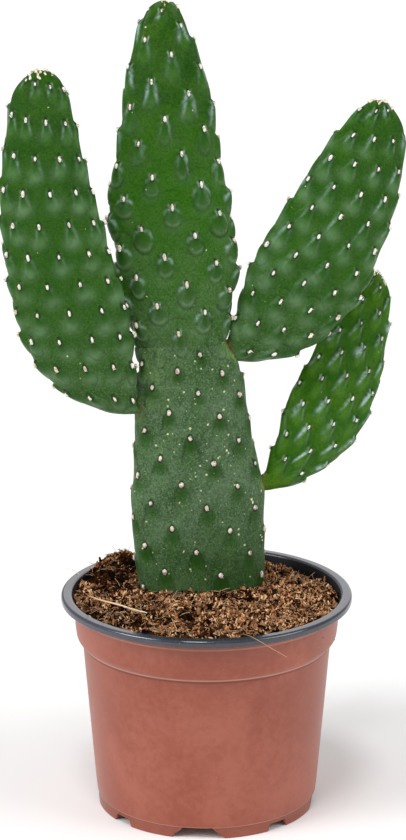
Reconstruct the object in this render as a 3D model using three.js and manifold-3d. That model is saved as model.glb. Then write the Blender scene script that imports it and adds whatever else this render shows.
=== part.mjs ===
// A potted paddle cactus: a branching plant of five flat, fleshy stem segments (pads) in a round
// plastic nursery pot filled with soil. Millimetres, +Z up, origin at the middle of the pot's foot.
// Every pad is a closed skin stretched over its own outline. Its areoles, the woolly tufts with
// short bristles, wind round it in a spiral, and each stands on a low tubercle.

import * as THREE from 'three';
import { ConvexHull } from 'three/addons/math/ConvexHull.js';
import { mergeVertices } from 'three/addons/utils/BufferGeometryUtils.js';
import Module from 'manifold-3d';

const solids = await Module();
solids.setup();

// ---- Driving dimensions ----

// Pot: a 17 cm round nursery pot.
const POT_HEIGHT = 127;
const RIM_RADIUS = 85;
const FOOT_RADIUS = 64;
const WALL = 1.3;
const LIP_WIDTH = 6.2;
const LIP_THICKNESS = 4;
const BAND_RADIUS = 77.8;
const BAND_BOTTOM = 98;
const BODY_TOP_RADIUS = 72.6;
const BODY_BOTTOM_RADIUS = 65.4;
const FLOOR_HEIGHT = 8;
const FOOT_WALL = 2.2;
const POT_SIDES = 56;

// Smaller steps of the pot's wall: above the foot, where the band begins and ends, and at the lip.
const FOOT_STEP = 0.7;
const FOOT_STEP_DROP = 1.5;
const SIDE_START = 6;
const FLOOR_EDGE = 2.5;
const BAND_STEP = 3.6;
const BAND_TAPER = 1.8;
const BAND_LEDGE = 8;
const LIP_EDGE = 0.9;

// Notches round the foot, alternately wide and narrow, as angles in degrees.
const NOTCH_COUNT = 8;
const FIRST_NOTCH = -94.7;
const WIDE_NOTCH = { bottom: 29, top: 15, height: 6.6 };
const NARROW_NOTCH = { bottom: 13, top: 10, height: 4.4 };
const DRAIN_HOLE_RADIUS = 4.5;
const DRAIN_RING_RADIUS = 52;

// Soil: its surface rises to the trunk and falls to one side, given as an angle in degrees.
const SOIL_LEVEL = 124.8;
const SOIL_RISE_AT_TRUNK = 2.5;
const SOIL_DROP = 2.6;
const SOIL_LOW_SIDE = 75;
const SOIL_SLOPE = [18, 60];
const SOIL_BUMP = 1.2;
const SOIL_WAVES = [[0.31, 0.27], [0.63, -0.52]];
const SOIL_MOUND = { x: -50, y: 40, top: 4, radius: 27, height: 12 };
const SOIL_RINGS = 11;
const SOIL_SPOKES = 40;

const POT_COLOR = 0x9a4a33;
const SOIL_COLOR = 0x3a2418;

// Free space left between two pieces that touch.
const GAP = 0.3;

// Areoles. They stand closer together near a pad's base and tip, and closest at the very tip.
const AREOLE_RADIUS = 1.3;
const AREOLE_STRETCH = 1.3;
const TUFT_LENGTH = 2.6;
const TUFT_LEAN = 1.3;
const TUBERCLE_HEIGHT = 1.1;
const FOOT_POINTS = 5;
const PLACE_STEP = 0.25;
const TIP_MARGIN = 0.5;
const TIP_CROWDING = 0.6;
const TIP_CROWDING_LENGTH = 30;
const TIP_CLUSTER = 0.65;
const TIP_CLUSTER_LENGTH = 6;
const BASE_CROWDING = 0.25;
const BASE_CROWDING_LENGTH = 20;
const ROOMY_GIRTH = 60;
const COVER_MARGIN = 2.5;
const NEIGHBOUR_REACH = 1.35;

// Sides of a pad's cut end and of its rounded tip, the step to the second ring beside a cut, the
// stretch there with no areoles, and the spacing of points on a plain stretch.
const CUT_SIDES = 26;
const CUT_STEP = 1.5;
const CUT_MARGIN = 4;
const CLOSE_SIDES = 8;
const CLOSE_DEPTH = 0.6;
const PLAIN_ROW = 12;

// The egg that a pad's points are laid on to find its triangles.
const EGG_BLUNTNESS = 2.6;
const EGG_SHORTENING = 0.998;

// Spacing of the points along a pad's edges, and how far they stay from an areole.
const EDGE_STEP = 6;
const EDGE_CLEARANCE = 3.4;

// Pads. Each one is placed by its joint, by the way its flat face is turned and by its axis, and
// drawn by its outline: [distance along the axis, reach to the left, reach to the right].
// An areole has areoleArea of skin to itself. The next one is areoleTurn of the way round, and
// areoleDrift is added from base to tip. edgeCrowding moves areoles from the flat faces to the
// edges: 0 spaces them evenly over the skin, 1 spaces them evenly in angle.
const PADS = {
  trunk: {
    joint: [-2.1, 14.6, 118.4],
    faceTurn: 12,
    faceLean: 0,
    axisTilt: -4.4,
    outline: [
      [-45, 37, 38], [0, 36.3, 37.8], [48, 37.8, 40.4], [63, 37.4, 41.2],
      [95, 33.6, 36.9], [127, 30.2, 34.6], [143, 27.5, 32], [158.3, 25, 25.2],
    ],
    halfThickness: [[-45, 18], [0, 17.5], [60, 16.5], [120, 13.5], [158.3, 11.5]],
    flatBase: true,
    flatTop: true,
    growsFrom: -45,
    plainBelow: 11,
    areoleArea: 371,
    areoleStart: 0.8295,
    areoleTurn: -0.3832,
    areoleDrift: 0.096,
    edgeCrowding: 0.9,
    color: 0x3f6b46,
  },
  top_pad: {
    joint: [-13.9, 12, 276.5],
    faceTurn: 12,
    faceLean: -2,
    axisTilt: -2.9,
    outline: [
      [-0.6, 25.3, 25.5], [19.7, 31.9, 29.8], [45, 35.6, 33.8], [79, 37.6, 31.8], [118, 30.8, 27.1],
      [150, 24.6, 23.2], [177, 17, 15], [189, 11, 10.5], [196.9, 0, 0],
    ],
    halfThickness: [[-0.6, 11.5], [30, 12], [80, 10.5], [140, 8.5], [180, 6.5], [190, 4.8], [196.9, 0]],
    flatBase: true,
    growsFrom: 0,
    plainBelow: 0,
    areoleArea: 338,
    areoleStart: 0.3142,
    areoleTurn: -0.3831,
    areoleDrift: 0.12,
    edgeCrowding: 0.853,
    color: 0x2f6b2c,
  },
  left_pad: {
    joint: [-40.2, 1.5, 241.6],
    faceTurn: 4,
    faceLean: 9,
    axisTilt: -15,
    outline: [
      [-5, 1, 1], [0, 15.4, 0.2], [8, 27, 3], [21, 38.7, 5], [42, 48.5, 8], [63, 51.9, 10.3],
      [105, 48.5, 10.5], [148, 39.6, 10.5], [190, 23.4, 12], [203, 16.5, 10.5], [211, 1, -1],
    ],
    halfThickness: [[-5, 1], [0, 5], [10, 7.5], [40, 9], [110, 8.5], [170, 7], [200, 5], [211, 0]],
    growsFrom: 0,
    plainBelow: -4,
    areoleArea: 235.5,
    areoleStart: 0.0349,
    areoleTurn: 0.4495,
    areoleDrift: 0.12,
    edgeCrowding: 0.9,
    color: 0x2c6a2a,
  },
  right_pad: {
    joint: [15.8, 18.4, 269.4],
    faceTurn: 6,
    faceLean: 3,
    axisTilt: 29.9,
    outline: [
      [-5, 1, 1], [0, 7, 14.5], [7, 7.8, 22.8], [17, 10.4, 33.4], [34, 15, 42.1], [67, 18.6, 47.8],
      [101, 17.2, 43.2], [135, 15.6, 32.6], [152, 12.6, 24.5], [162, 9, 17], [168.8, -1, 1],
    ],
    halfThickness: [[-5, 1], [0, 5], [10, 7.5], [40, 9], [90, 8.5], [140, 6.5], [160, 4.6], [168.8, 0]],
    growsFrom: 0,
    plainBelow: -4,
    areoleArea: 254.6,
    areoleStart: 0.6008,
    areoleTurn: -0.4397,
    areoleDrift: -0.032,
    edgeCrowding: 0.192,
    color: 0x2c6a26,
  },
  small_pad: {
    joint: [34.2, 22.3, 187.7],
    faceTurn: 18,
    faceLean: -8,
    axisTilt: 32.2,
    outline: [
      [-4, 1, 1], [0, 3.6, 7.4], [6, 4, 14.7], [14, 5, 21], [28, 7.3, 29.9], [56, 12.8, 37.5],
      [85, 12.3, 33.8], [113, 8.5, 23.5], [127, 5.9, 17.2], [136, 2.9, 11], [141.1, 0, 0],
    ],
    halfThickness: [[-4, 1], [0, 4], [10, 5.5], [40, 6.5], [90, 5.8], [120, 4.6], [134, 3.2], [141.1, 0]],
    growsFrom: 0,
    plainBelow: -3,
    areoleArea: 191,
    areoleStart: 0.7725,
    areoleTurn: -0.1803,
    areoleDrift: 0.099,
    edgeCrowding: 0.459,
    color: 0x4a8a2a,
  },
};

const FULL_TURN = 2 * Math.PI;
const DEGREE = Math.PI / 180;

// ---- Shared helpers ----

// A smooth curve through the points [x, y], flat at its own peaks and valleys.
function curveThrough(points) {
  const slopes = points.map((p, i) => {
    const before = i > 0 ? (p[1] - points[i - 1][1]) / (p[0] - points[i - 1][0]) : null;
    const after = i < points.length - 1 ? (points[i + 1][1] - p[1]) / (points[i + 1][0] - p[0]) : null;
    if (before === null) return after;
    if (after === null) return before;
    if (before * after <= 0) return 0;
    const back = p[0] - points[i - 1][0];
    const ahead = points[i + 1][0] - p[0];
    return (before * ahead + after * back) / (back + ahead);
  });
  return (x) => {
    let i = 0;
    while (i < points.length - 2 && x > points[i + 1][0]) i += 1;
    const [x0, y0] = points[i];
    const [x1, y1] = points[i + 1];
    const span = x1 - x0;
    const u = Math.min(Math.max((x - x0) / span, 0), 1);
    const keep = 2 * u ** 3 - 3 * u ** 2 + 1;
    const leave = u ** 3 - 2 * u ** 2 + u;
    const arrive = u ** 3 - u ** 2;
    return keep * y0 + leave * span * slopes[i] + (1 - keep) * y1 + arrive * span * slopes[i + 1];
  };
}

function smoothStep(from, to, x) {
  const u = Math.min(Math.max((x - from) / (to - from), 0), 1);
  return u * u * (3 - 2 * u);
}

// A closed mesh as a solid that can be joined and cut.
function toSolid(geometry) {
  const bare = new THREE.BufferGeometry();
  bare.setAttribute('position', geometry.getAttribute('position').clone());
  bare.setIndex(geometry.getIndex());
  const merged = mergeVertices(bare, 1e-4);
  const corners = merged.getIndex().array;
  const kept = [];
  for (let i = 0; i < corners.length; i += 3) {
    const [a, b, c] = corners.slice(i, i + 3);
    if (a !== b && b !== c && c !== a) kept.push(a, b, c);
  }
  return new solids.Manifold(new solids.Mesh({
    numProp: 3,
    vertProperties: new Float32Array(merged.getAttribute('position').array),
    triVerts: new Uint32Array(kept),
  }));
}

function toGeometry(solid) {
  const mesh = solid.getMesh();
  const geometry = new THREE.BufferGeometry();
  geometry.setAttribute('position', new THREE.BufferAttribute(mesh.vertProperties, 3));
  geometry.setIndex(new THREE.BufferAttribute(mesh.triVerts, 1));
  geometry.computeVertexNormals();
  return geometry;
}

// ---- Pads ----

// The plain form of a pad: its place, its width and thickness along the axis, and its skin.
class PadForm {
  constructor(pad) {
    const across = new THREE.Vector3(Math.cos(pad.faceTurn * DEGREE), Math.sin(pad.faceTurn * DEGREE), 0);
    const back = new THREE.Vector3(-across.y, across.x, 0);
    const upright = new THREE.Vector3(0, 0, Math.cos(pad.faceLean * DEGREE));
    upright.addScaledVector(back, -Math.sin(pad.faceLean * DEGREE));
    const tilt = pad.axisTilt * DEGREE;
    this.joint = new THREE.Vector3(...pad.joint);
    this.along = upright.clone().multiplyScalar(Math.cos(tilt)).addScaledVector(across, Math.sin(tilt));
    this.side = across.clone().multiplyScalar(Math.cos(tilt)).addScaledVector(upright, -Math.sin(tilt));
    this.back = new THREE.Vector3().crossVectors(this.along, this.side);
    this.start = pad.outline[0][0];
    this.end = pad.outline.at(-1)[0];
    // Squares are smoothed, so that an end whose width is 0 closes round.
    this.widthSquared = curveThrough(pad.outline.map(([at, l, r]) => [at, ((l + r) / 2) ** 2]));
    this.shift = curveThrough(pad.outline.map(([at, l, r]) => [at, (r - l) / 2]));
    this.thicknessSquared = curveThrough(pad.halfThickness.map(([at, h]) => [at, h * h]));
  }

  // Half width, half thickness and sideways shift of the section at a distance along the axis.
  section(at) {
    return {
      width: Math.sqrt(Math.max(this.widthSquared(at), 0)),
      thickness: Math.sqrt(Math.max(this.thicknessSquared(at), 0)),
      shift: this.shift(at),
    };
  }

  girth(at) {
    const { width, thickness } = this.section(at);
    const root = Math.sqrt((3 * width + thickness) * (width + 3 * thickness));
    return Math.PI * (3 * (width + thickness) - root);
  }

  // The point a share of the way round the section, lifted off the skin and slid to the tip.
  point(turn, at, lift = 0, slide = 0) {
    const { width, thickness, shift } = this.section(at);
    const angle = angleAtShare(width, thickness, turn);
    const outX = Math.cos(angle) * Math.max(thickness, 0.01);
    const outY = Math.sin(angle) * Math.max(width, 0.01);
    const length = Math.hypot(outX, outY);
    return this.axisPoint(at + slide)
      .addScaledVector(this.side, width * Math.cos(angle) + lift * outX / length)
      .addScaledVector(this.back, thickness * Math.sin(angle) + lift * outY / length)
      .addScaledVector(this.side, shift - this.shift(at + slide));
  }

  axisPoint(at) {
    return this.joint.clone().addScaledVector(this.along, at).addScaledVector(this.side, this.shift(at));
  }

  holds(point, margin) {
    const offset = point.clone().sub(this.joint);
    const at = offset.dot(this.along);
    if (at < this.start - margin || at > this.end + margin) return false;
    const { width, thickness, shift } = this.section(at);
    const x = (offset.dot(this.side) - shift) / (width + margin);
    const y = offset.dot(this.back) / (thickness + margin);
    return x * x + y * y < 1;
  }
}

// The share of an ellipse's girth that is passed at each of a row of angles.
function girthShares(width, thickness) {
  const steps = 96;
  const arcs = [0];
  for (let i = 1; i <= steps; i += 1) {
    const middle = FULL_TURN * (i - 0.5) / steps;
    arcs.push(arcs[i - 1] + Math.hypot(width * Math.sin(middle), thickness * Math.cos(middle)));
  }
  return arcs.map((arc) => arc / arcs[steps]);
}

// The angle at which the given share of an ellipse's girth is passed.
function angleAtShare(width, thickness, share) {
  const shares = girthShares(width, thickness);
  const wanted = share - Math.floor(share);
  let i = 1;
  while (i < shares.length - 1 && shares[i] < wanted) i += 1;
  const part = (wanted - shares[i - 1]) / (shares[i] - shares[i - 1]);
  return FULL_TURN * (i - 1 + part) / (shares.length - 1);
}

// The share of an ellipse's girth that is passed at the given angle.
function shareAtAngle(width, thickness, angle) {
  const shares = girthShares(width, thickness);
  const place = angle / FULL_TURN * (shares.length - 1);
  const i = Math.min(Math.floor(place), shares.length - 2);
  return shares[i] + (shares[i + 1] - shares[i]) * (place - i);
}

// The skin that each areole has to itself at a distance along the pad.
function areoleArea(pad, form, at) {
  const fromTip = form.end - TIP_MARGIN - at;
  const crowded = 1 - TIP_CROWDING * Math.exp(-fromTip / TIP_CROWDING_LENGTH);
  const cluster = pad.flatTop ? 0 : TIP_CLUSTER * Math.exp(-((fromTip / TIP_CLUSTER_LENGTH) ** 2));
  const based = 1 - BASE_CROWDING * Math.exp((pad.growsFrom - at) / BASE_CROWDING_LENGTH);
  return pad.areoleArea * crowded * (1 - cluster) * based;
}

// Whether a distance along a pad lies on its plain stretch or beside one of its cut ends.
function isPlain(pad, form, at) {
  const besideBase = pad.flatBase && at < form.start + CUT_MARGIN;
  const besideTop = pad.flatTop && at > form.end - CUT_MARGIN;
  return at < pad.plainBelow || besideBase || besideTop;
}

// The places of a pad's areoles. None grows where another pad sits.
function areolePlaces(pad, form, otherForms) {
  const places = [];
  const tip = form.end - TIP_MARGIN;
  let count = 0;
  for (let at = pad.growsFrom; at < tip; at += PLACE_STEP) {
    count += form.girth(at) * PLACE_STEP / areoleArea(pad, form, at);
    const number = places.length + 1;
    if (count < number) continue;
    const along = (at - pad.growsFrom) / (tip - pad.growsFrom);
    const spiral = pad.areoleStart + number * pad.areoleTurn + pad.areoleDrift * (along - 0.5);
    const turn = spiral - Math.floor(spiral);
    const { width, thickness } = form.section(at);
    const even = angleAtShare(width, thickness, turn);
    const angle = even + (FULL_TURN * turn - even) * pad.edgeCrowding;
    const place = { at, turn: shareAtAngle(width, thickness, angle) };
    const covered = otherForms.some((other) => other.holds(form.point(place.turn, at), COVER_MARGIN));
    places.push({ ...place, covered, plain: isPlain(pad, form, at) });
  }
  return places;
}

// The points of a pad's skin: the areoles' tips, a ring at each areole's foot and the low points
// between neighbouring areoles.
function skinPoints(pad, form, otherForms) {
  const cloud = [];
  const places = areolePlaces(pad, form, otherForms).filter((place) => !place.plain);
  for (const [index, place] of places.entries()) {
    const girth = form.girth(place.at);
    const room = Math.min(1, girth / ROOMY_GIRTH);
    if (place.covered) {
      cloud.push({ ...place, lift: 0, slide: 0 });
    } else {
      const lift = (TUBERCLE_HEIGHT + TUFT_LENGTH) * room;
      cloud.push({ ...place, lift, slide: TUFT_LEAN * room });
      for (let i = 0; i < FOOT_POINTS; i += 1) {
        const angle = FULL_TURN * i / FOOT_POINTS;
        const turn = place.turn + AREOLE_RADIUS * room * Math.sin(angle) / girth;
        const at = place.at + AREOLE_RADIUS * AREOLE_STRETCH * room * Math.cos(angle);
        cloud.push({ turn, at, lift: TUBERCLE_HEIGHT * room, slide: 0 });
      }
    }
    const reach = NEIGHBOUR_REACH * Math.sqrt(areoleArea(pad, form, place.at));
    for (const other of places.slice(index + 1)) {
      const turn = other.turn - place.turn - Math.round(other.turn - place.turn);
      if (Math.hypot(turn * girth, other.at - place.at) > reach) continue;
      cloud.push({ turn: place.turn + turn / 2, at: (place.at + other.at) / 2, lift: 0, slide: 0 });
    }
  }
  addEdgePoints(cloud, pad, form, places);
  addEnd(cloud, form.start, 1, pad.flatBase);
  addEnd(cloud, form.end, -1, pad.flatTop);
  if (pad.flatBase) addPlainRows(cloud, form.start, pad.plainBelow);
  return cloud;
}

// Points along both edges of a pad, between its areoles, which keep its outline true.
function addEdgePoints(cloud, pad, form, places) {
  const from = Math.max(form.start, pad.plainBelow) + EDGE_STEP / 2;
  for (let at = from; at < form.end - EDGE_STEP / 2; at += EDGE_STEP) {
    for (const turn of [0, 0.5]) {
      const edge = form.point(turn, at);
      const room = places.map((place) => form.point(place.turn, place.at).distanceTo(edge));
      if (Math.min(...room) > EDGE_CLEARANCE) cloud.push({ turn, at, lift: 0, slide: 0 });
    }
  }
}

// The end of a pad: a flat cut across its full section with a second ring beside it, or a rounded
// close.
function addEnd(cloud, end, inward, flat) {
  const count = flat ? CUT_SIDES : CLOSE_SIDES;
  const rings = flat ? [0, CUT_STEP] : [CLOSE_DEPTH];
  for (const [ring, depth] of rings.entries()) {
    for (let i = 0; i < count; i += 1) {
      cloud.push({ turn: (i + ring / 2) / count, at: end + inward * depth, lift: 0, slide: 0 });
    }
  }
  cloud.push({ turn: 0, at: end, lift: 0, slide: 0, pole: true });
}

// Rows of points on a plain stretch, such as the trunk's buried end.
function addPlainRows(cloud, from, to) {
  const rows = Math.round((to - from) / PLAIN_ROW);
  for (let row = 1; row <= rows; row += 1) {
    for (let i = 0; i < CUT_SIDES; i += 1) {
      const at = from + row * (to - from) / (rows + 0.5);
      cloud.push({ turn: (i + row / 2) / CUT_SIDES, at, lift: 0, slide: 0 });
    }
  }
}

// The triangles of the skin. Its points laid on a plain egg all lie on their convex hull, and the
// hull's triangles are the skin's triangles.
function skinCorners(cloud, form) {
  const middle = (form.start + form.end) / 2;
  const halfLength = (form.end - form.start) / 2;
  const eggRadius = Math.max(...cloud.map(({ at }) => form.girth(at))) / FULL_TURN;
  const numbers = new Map();
  const eggPoints = cloud.map((spot, number) => {
    const rise = (spot.at - middle) / halfLength * (spot.pole ? 1 : EGG_SHORTENING);
    const radius = spot.pole ? 0 : eggRadius * Math.sqrt(1 - Math.abs(rise) ** EGG_BLUNTNESS);
    const angle = FULL_TURN * spot.turn;
    const x = radius * Math.cos(angle);
    const point = new THREE.Vector3(x, radius * Math.sin(angle), halfLength * rise);
    numbers.set(point, number);
    return point;
  });
  const corners = [];
  for (const face of new ConvexHull().setFromPoints(eggPoints).faces) {
    let edge = face.edge;
    do {
      corners.push(numbers.get(edge.head().point));
      edge = edge.next;
    } while (edge !== face.edge);
  }
  return corners;
}

// The skin of a pad, or the same skin let out all round by a small distance.
function padSkin(pad, form, otherForms, letOut) {
  const cloud = skinPoints(pad, form, otherForms);
  const positions = cloud.flatMap((spot) => {
    const share = (spot.at - form.start) / (form.end - form.start);
    const slide = spot.slide + letOut * (2 * share - 1);
    if (spot.pole) return form.axisPoint(spot.at + slide).toArray();
    return form.point(spot.turn, spot.at, spot.lift + letOut, slide).toArray();
  });
  const geometry = new THREE.BufferGeometry();
  geometry.setAttribute('position', new THREE.Float32BufferAttribute(positions, 3));
  geometry.setIndex(skinCorners(cloud, form));
  return geometry;
}

// ---- Pot ----

function potWall() {
  const footInside = FOOT_RADIUS - FOOT_WALL;
  const underside = FLOOR_HEIGHT - WALL;
  const sideStart = FLOOR_HEIGHT + SIDE_START;
  const bandStart = BAND_BOTTOM + BAND_STEP;
  const bandFoot = BAND_RADIUS - BAND_TAPER;
  const bandTop = POT_HEIGHT - LIP_THICKNESS;
  const lipInside = RIM_RADIUS - LIP_WIDTH;
  const profile = [
    [0, underside], [footInside, underside], [footInside, 0], [FOOT_RADIUS, 0],
    [FOOT_RADIUS - FOOT_STEP / 2, FLOOR_HEIGHT - FOOT_STEP_DROP],
    [BODY_BOTTOM_RADIUS - FOOT_STEP, FLOOR_HEIGHT - FOOT_STEP], [BODY_BOTTOM_RADIUS, sideStart],
    [BODY_TOP_RADIUS, BAND_BOTTOM], [bandFoot, bandStart],
    [BAND_RADIUS, POT_HEIGHT - BAND_LEDGE - LIP_EDGE],
    [BAND_RADIUS - WALL / 2, POT_HEIGHT - BAND_LEDGE], [BAND_RADIUS, bandTop],
    [RIM_RADIUS - LIP_EDGE, bandTop], [RIM_RADIUS, bandTop + LIP_EDGE],
    [RIM_RADIUS, POT_HEIGHT - LIP_EDGE], [RIM_RADIUS - LIP_EDGE, POT_HEIGHT],
    [lipInside + LIP_EDGE, POT_HEIGHT], [lipInside, POT_HEIGHT - LIP_EDGE],
    [BAND_RADIUS - WALL, bandTop - LIP_THICKNESS], [bandFoot - WALL, bandStart],
    [BODY_TOP_RADIUS - WALL, BAND_BOTTOM], [BODY_BOTTOM_RADIUS - WALL, sideStart],
    [BODY_BOTTOM_RADIUS - WALL - FLOOR_EDGE, FLOOR_HEIGHT], [0, FLOOR_HEIGHT],
  ];
  const lathe = new THREE.LatheGeometry(profile.map(([r, z]) => new THREE.Vector2(r, z)), POT_SIDES);
  lathe.rotateX(Math.PI / 2);
  return toSolid(lathe);
}

// A wedge that opens the foot ring at one angle, narrower at its top.
function footNotch(notch, degrees) {
  const arc = FOOT_RADIUS * DEGREE;
  const shape = new THREE.Shape([
    new THREE.Vector2(-notch.bottom * arc / 2, -1),
    new THREE.Vector2(notch.bottom * arc / 2, -1),
    new THREE.Vector2(notch.top * arc / 2, notch.height),
    new THREE.Vector2(-notch.top * arc / 2, notch.height),
  ]);
  const wedge = new THREE.ExtrudeGeometry(shape, { depth: FOOT_WALL * 6, bevelEnabled: false });
  wedge.rotateX(Math.PI / 2);
  wedge.rotateZ(Math.PI / 2);
  wedge.translate(FOOT_RADIUS - FOOT_WALL * 3, 0, 0);
  wedge.rotateZ(degrees * DEGREE);
  return toSolid(wedge);
}

function drainHole(degrees) {
  const hole = new THREE.CylinderGeometry(DRAIN_HOLE_RADIUS, DRAIN_HOLE_RADIUS, FLOOR_HEIGHT * 2, 16);
  hole.rotateX(Math.PI / 2);
  hole.translate(DRAIN_RING_RADIUS, 0, FLOOR_HEIGHT);
  hole.rotateZ(degrees * DEGREE);
  return toSolid(hole);
}

function pot() {
  let body = potWall();
  for (let i = 0; i < NOTCH_COUNT; i += 1) {
    const degrees = FIRST_NOTCH + i * 360 / NOTCH_COUNT;
    body = body.subtract(footNotch(i % 2 === 0 ? WIDE_NOTCH : NARROW_NOTCH, degrees));
    body = body.subtract(drainHole(degrees));
  }
  return body;
}

// ---- Soil ----

// Height of the soil's surface: higher against the trunk, lower to one side, with one mound.
function soilHeight(x, y) {
  const [trunkX, trunkY] = PADS.trunk.joint;
  const fromTrunk = Math.hypot((x - trunkX) / 1.5, y - trunkY);
  const fromMound = Math.hypot(x - SOIL_MOUND.x, y - SOIL_MOUND.y);
  const lowSide = SOIL_LOW_SIDE * DEGREE;
  const tilt = -SOIL_DROP * (x * Math.cos(lowSide) + y * Math.sin(lowSide)) / BAND_RADIUS;
  const rise = SOIL_RISE_AT_TRUNK * (1 - smoothStep(...SOIL_SLOPE, fromTrunk));
  const mound = SOIL_MOUND.height * (1 - smoothStep(SOIL_MOUND.top, SOIL_MOUND.radius, fromMound));
  const waves = SOIL_WAVES.map(([alongX, alongY]) => Math.sin(alongX * x + alongY * y));
  return SOIL_LEVEL + tilt + rise + mound + SOIL_BUMP * (waves[0] + waves[1]) / 2;
}

// The inner face of the pot's wall, from the floor up, that the soil fills to.
function soilSide() {
  return [
    [BODY_BOTTOM_RADIUS - WALL - FLOOR_EDGE - GAP, FLOOR_HEIGHT + GAP],
    [BODY_BOTTOM_RADIUS - WALL - GAP, FLOOR_HEIGHT + SIDE_START + GAP],
    [BODY_TOP_RADIUS - WALL - GAP, BAND_BOTTOM + GAP],
    [BAND_RADIUS - BAND_TAPER - WALL - GAP, BAND_BOTTOM + BAND_STEP + 2 * GAP],
  ];
}

function soil() {
  const rows = [];
  const edge = BAND_RADIUS - FOOT_STEP - WALL - 2 * GAP;
  for (let ring = 0; ring < SOIL_RINGS; ring += 1) {
    const radius = edge * (ring + 1) / SOIL_RINGS;
    rows.push((angle) => {
      const x = radius * Math.cos(angle);
      const y = radius * Math.sin(angle);
      return [x, y, soilHeight(x, y)];
    });
  }
  for (const [radius, z] of soilSide().reverse()) {
    rows.push((angle) => [radius * Math.cos(angle), radius * Math.sin(angle), z]);
  }
  const positions = [0, 0, soilHeight(0, 0)];
  const corners = [];
  const at = (row, spoke) => 1 + row * SOIL_SPOKES + (spoke % SOIL_SPOKES);
  for (const [row, place] of rows.entries()) {
    for (let spoke = 0; spoke < SOIL_SPOKES; spoke += 1) {
      positions.push(...place(FULL_TURN * spoke / SOIL_SPOKES));
      if (row === 0) {
        corners.push(0, at(0, spoke), at(0, spoke + 1));
      } else {
        corners.push(at(row - 1, spoke), at(row, spoke), at(row, spoke + 1));
        corners.push(at(row - 1, spoke), at(row, spoke + 1), at(row - 1, spoke + 1));
      }
    }
  }
  const bottom = positions.length / 3;
  positions.push(0, 0, FLOOR_HEIGHT + GAP);
  for (let spoke = 0; spoke < SOIL_SPOKES; spoke += 1) {
    corners.push(at(rows.length - 1, spoke), bottom, at(rows.length - 1, spoke + 1));
  }
  const geometry = new THREE.BufferGeometry();
  geometry.setAttribute('position', new THREE.Float32BufferAttribute(positions, 3));
  geometry.setIndex(corners);
  return toSolid(geometry);
}

// ---- Assembly ----

// The largest body of a solid, without the scraps that a cut leaves.
function largestPiece(solid) {
  return solid.decompose().sort((a, b) => b.volume() - a.volume())[0];
}

function addPiece(group, name, solid, color, roughness) {
  const material = new THREE.MeshStandardMaterial({ color, roughness, metalness: 0 });
  const mesh = new THREE.Mesh(toGeometry(solid), material);
  mesh.name = name;
  group.add(mesh);
}

// Which pads each pad is cut clear of, where its joint end meets them.
const NEIGHBOURS = {
  top_pad: ['trunk'],
  left_pad: ['trunk'],
  right_pad: ['trunk', 'top_pad'],
  small_pad: ['trunk'],
};

const plant = new THREE.Group();
const forms = Object.fromEntries(Object.entries(PADS).map(([name, pad]) => [name, new PadForm(pad)]));
const pads = {};
const clearances = {};
for (const [name, pad] of Object.entries(PADS)) {
  const otherForms = Object.entries(forms).filter(([other]) => other !== name).map(([, form]) => form);
  pads[name] = toSolid(padSkin(pad, forms[name], otherForms, 0));
  clearances[name] = toSolid(padSkin(pad, forms[name], otherForms, GAP));
}
for (const [name, neighbours] of Object.entries(NEIGHBOURS)) {
  for (const neighbour of neighbours) pads[name] = pads[name].subtract(clearances[neighbour]);
  pads[name] = largestPiece(pads[name]);
}

addPiece(plant, 'pot', pot(), POT_COLOR, 0.55);
addPiece(plant, 'soil', largestPiece(soil().subtract(clearances.trunk)), SOIL_COLOR, 0.95);
for (const [name, pad] of Object.entries(PADS)) addPiece(plant, name, pads[name], pad.color, 0.45);

export default plant;
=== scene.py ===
"""The looks of a potted paddle cactus: five flat green pads in a round plastic pot of soil.

Lengths are in millimetres and are turned into metres where a mesh is made. The pads' forms and the
rule of their areoles are those of the solid model that this scene dresses, but for a slightly
blunter tip on the top pad.
"""

import math

import bpy
import numpy as np
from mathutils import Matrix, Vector


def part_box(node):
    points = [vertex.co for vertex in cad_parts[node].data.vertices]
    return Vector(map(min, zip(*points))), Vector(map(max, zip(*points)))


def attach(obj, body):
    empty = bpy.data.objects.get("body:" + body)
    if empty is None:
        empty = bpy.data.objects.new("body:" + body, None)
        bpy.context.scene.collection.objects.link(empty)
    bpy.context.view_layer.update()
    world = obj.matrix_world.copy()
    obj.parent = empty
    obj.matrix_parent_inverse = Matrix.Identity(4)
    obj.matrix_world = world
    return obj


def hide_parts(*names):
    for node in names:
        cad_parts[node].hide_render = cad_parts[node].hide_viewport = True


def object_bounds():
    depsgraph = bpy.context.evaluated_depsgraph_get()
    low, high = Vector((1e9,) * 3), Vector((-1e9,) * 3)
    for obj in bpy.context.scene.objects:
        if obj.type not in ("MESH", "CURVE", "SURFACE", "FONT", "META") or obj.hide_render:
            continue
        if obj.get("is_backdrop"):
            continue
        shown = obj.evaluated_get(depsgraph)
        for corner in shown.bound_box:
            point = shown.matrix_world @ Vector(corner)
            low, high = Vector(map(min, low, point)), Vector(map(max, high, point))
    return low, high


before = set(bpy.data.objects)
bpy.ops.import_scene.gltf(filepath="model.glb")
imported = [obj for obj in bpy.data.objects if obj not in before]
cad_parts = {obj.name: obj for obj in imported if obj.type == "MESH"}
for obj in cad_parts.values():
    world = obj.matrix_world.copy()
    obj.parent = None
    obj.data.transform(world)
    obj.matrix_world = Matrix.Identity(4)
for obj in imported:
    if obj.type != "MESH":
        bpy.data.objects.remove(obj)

CAD_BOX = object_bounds()

MM = 0.001
FULL_TURN = 2 * math.pi
LUMP_GRID = 64
BODY = "root"

# ---- Driving dimensions ----

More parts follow.
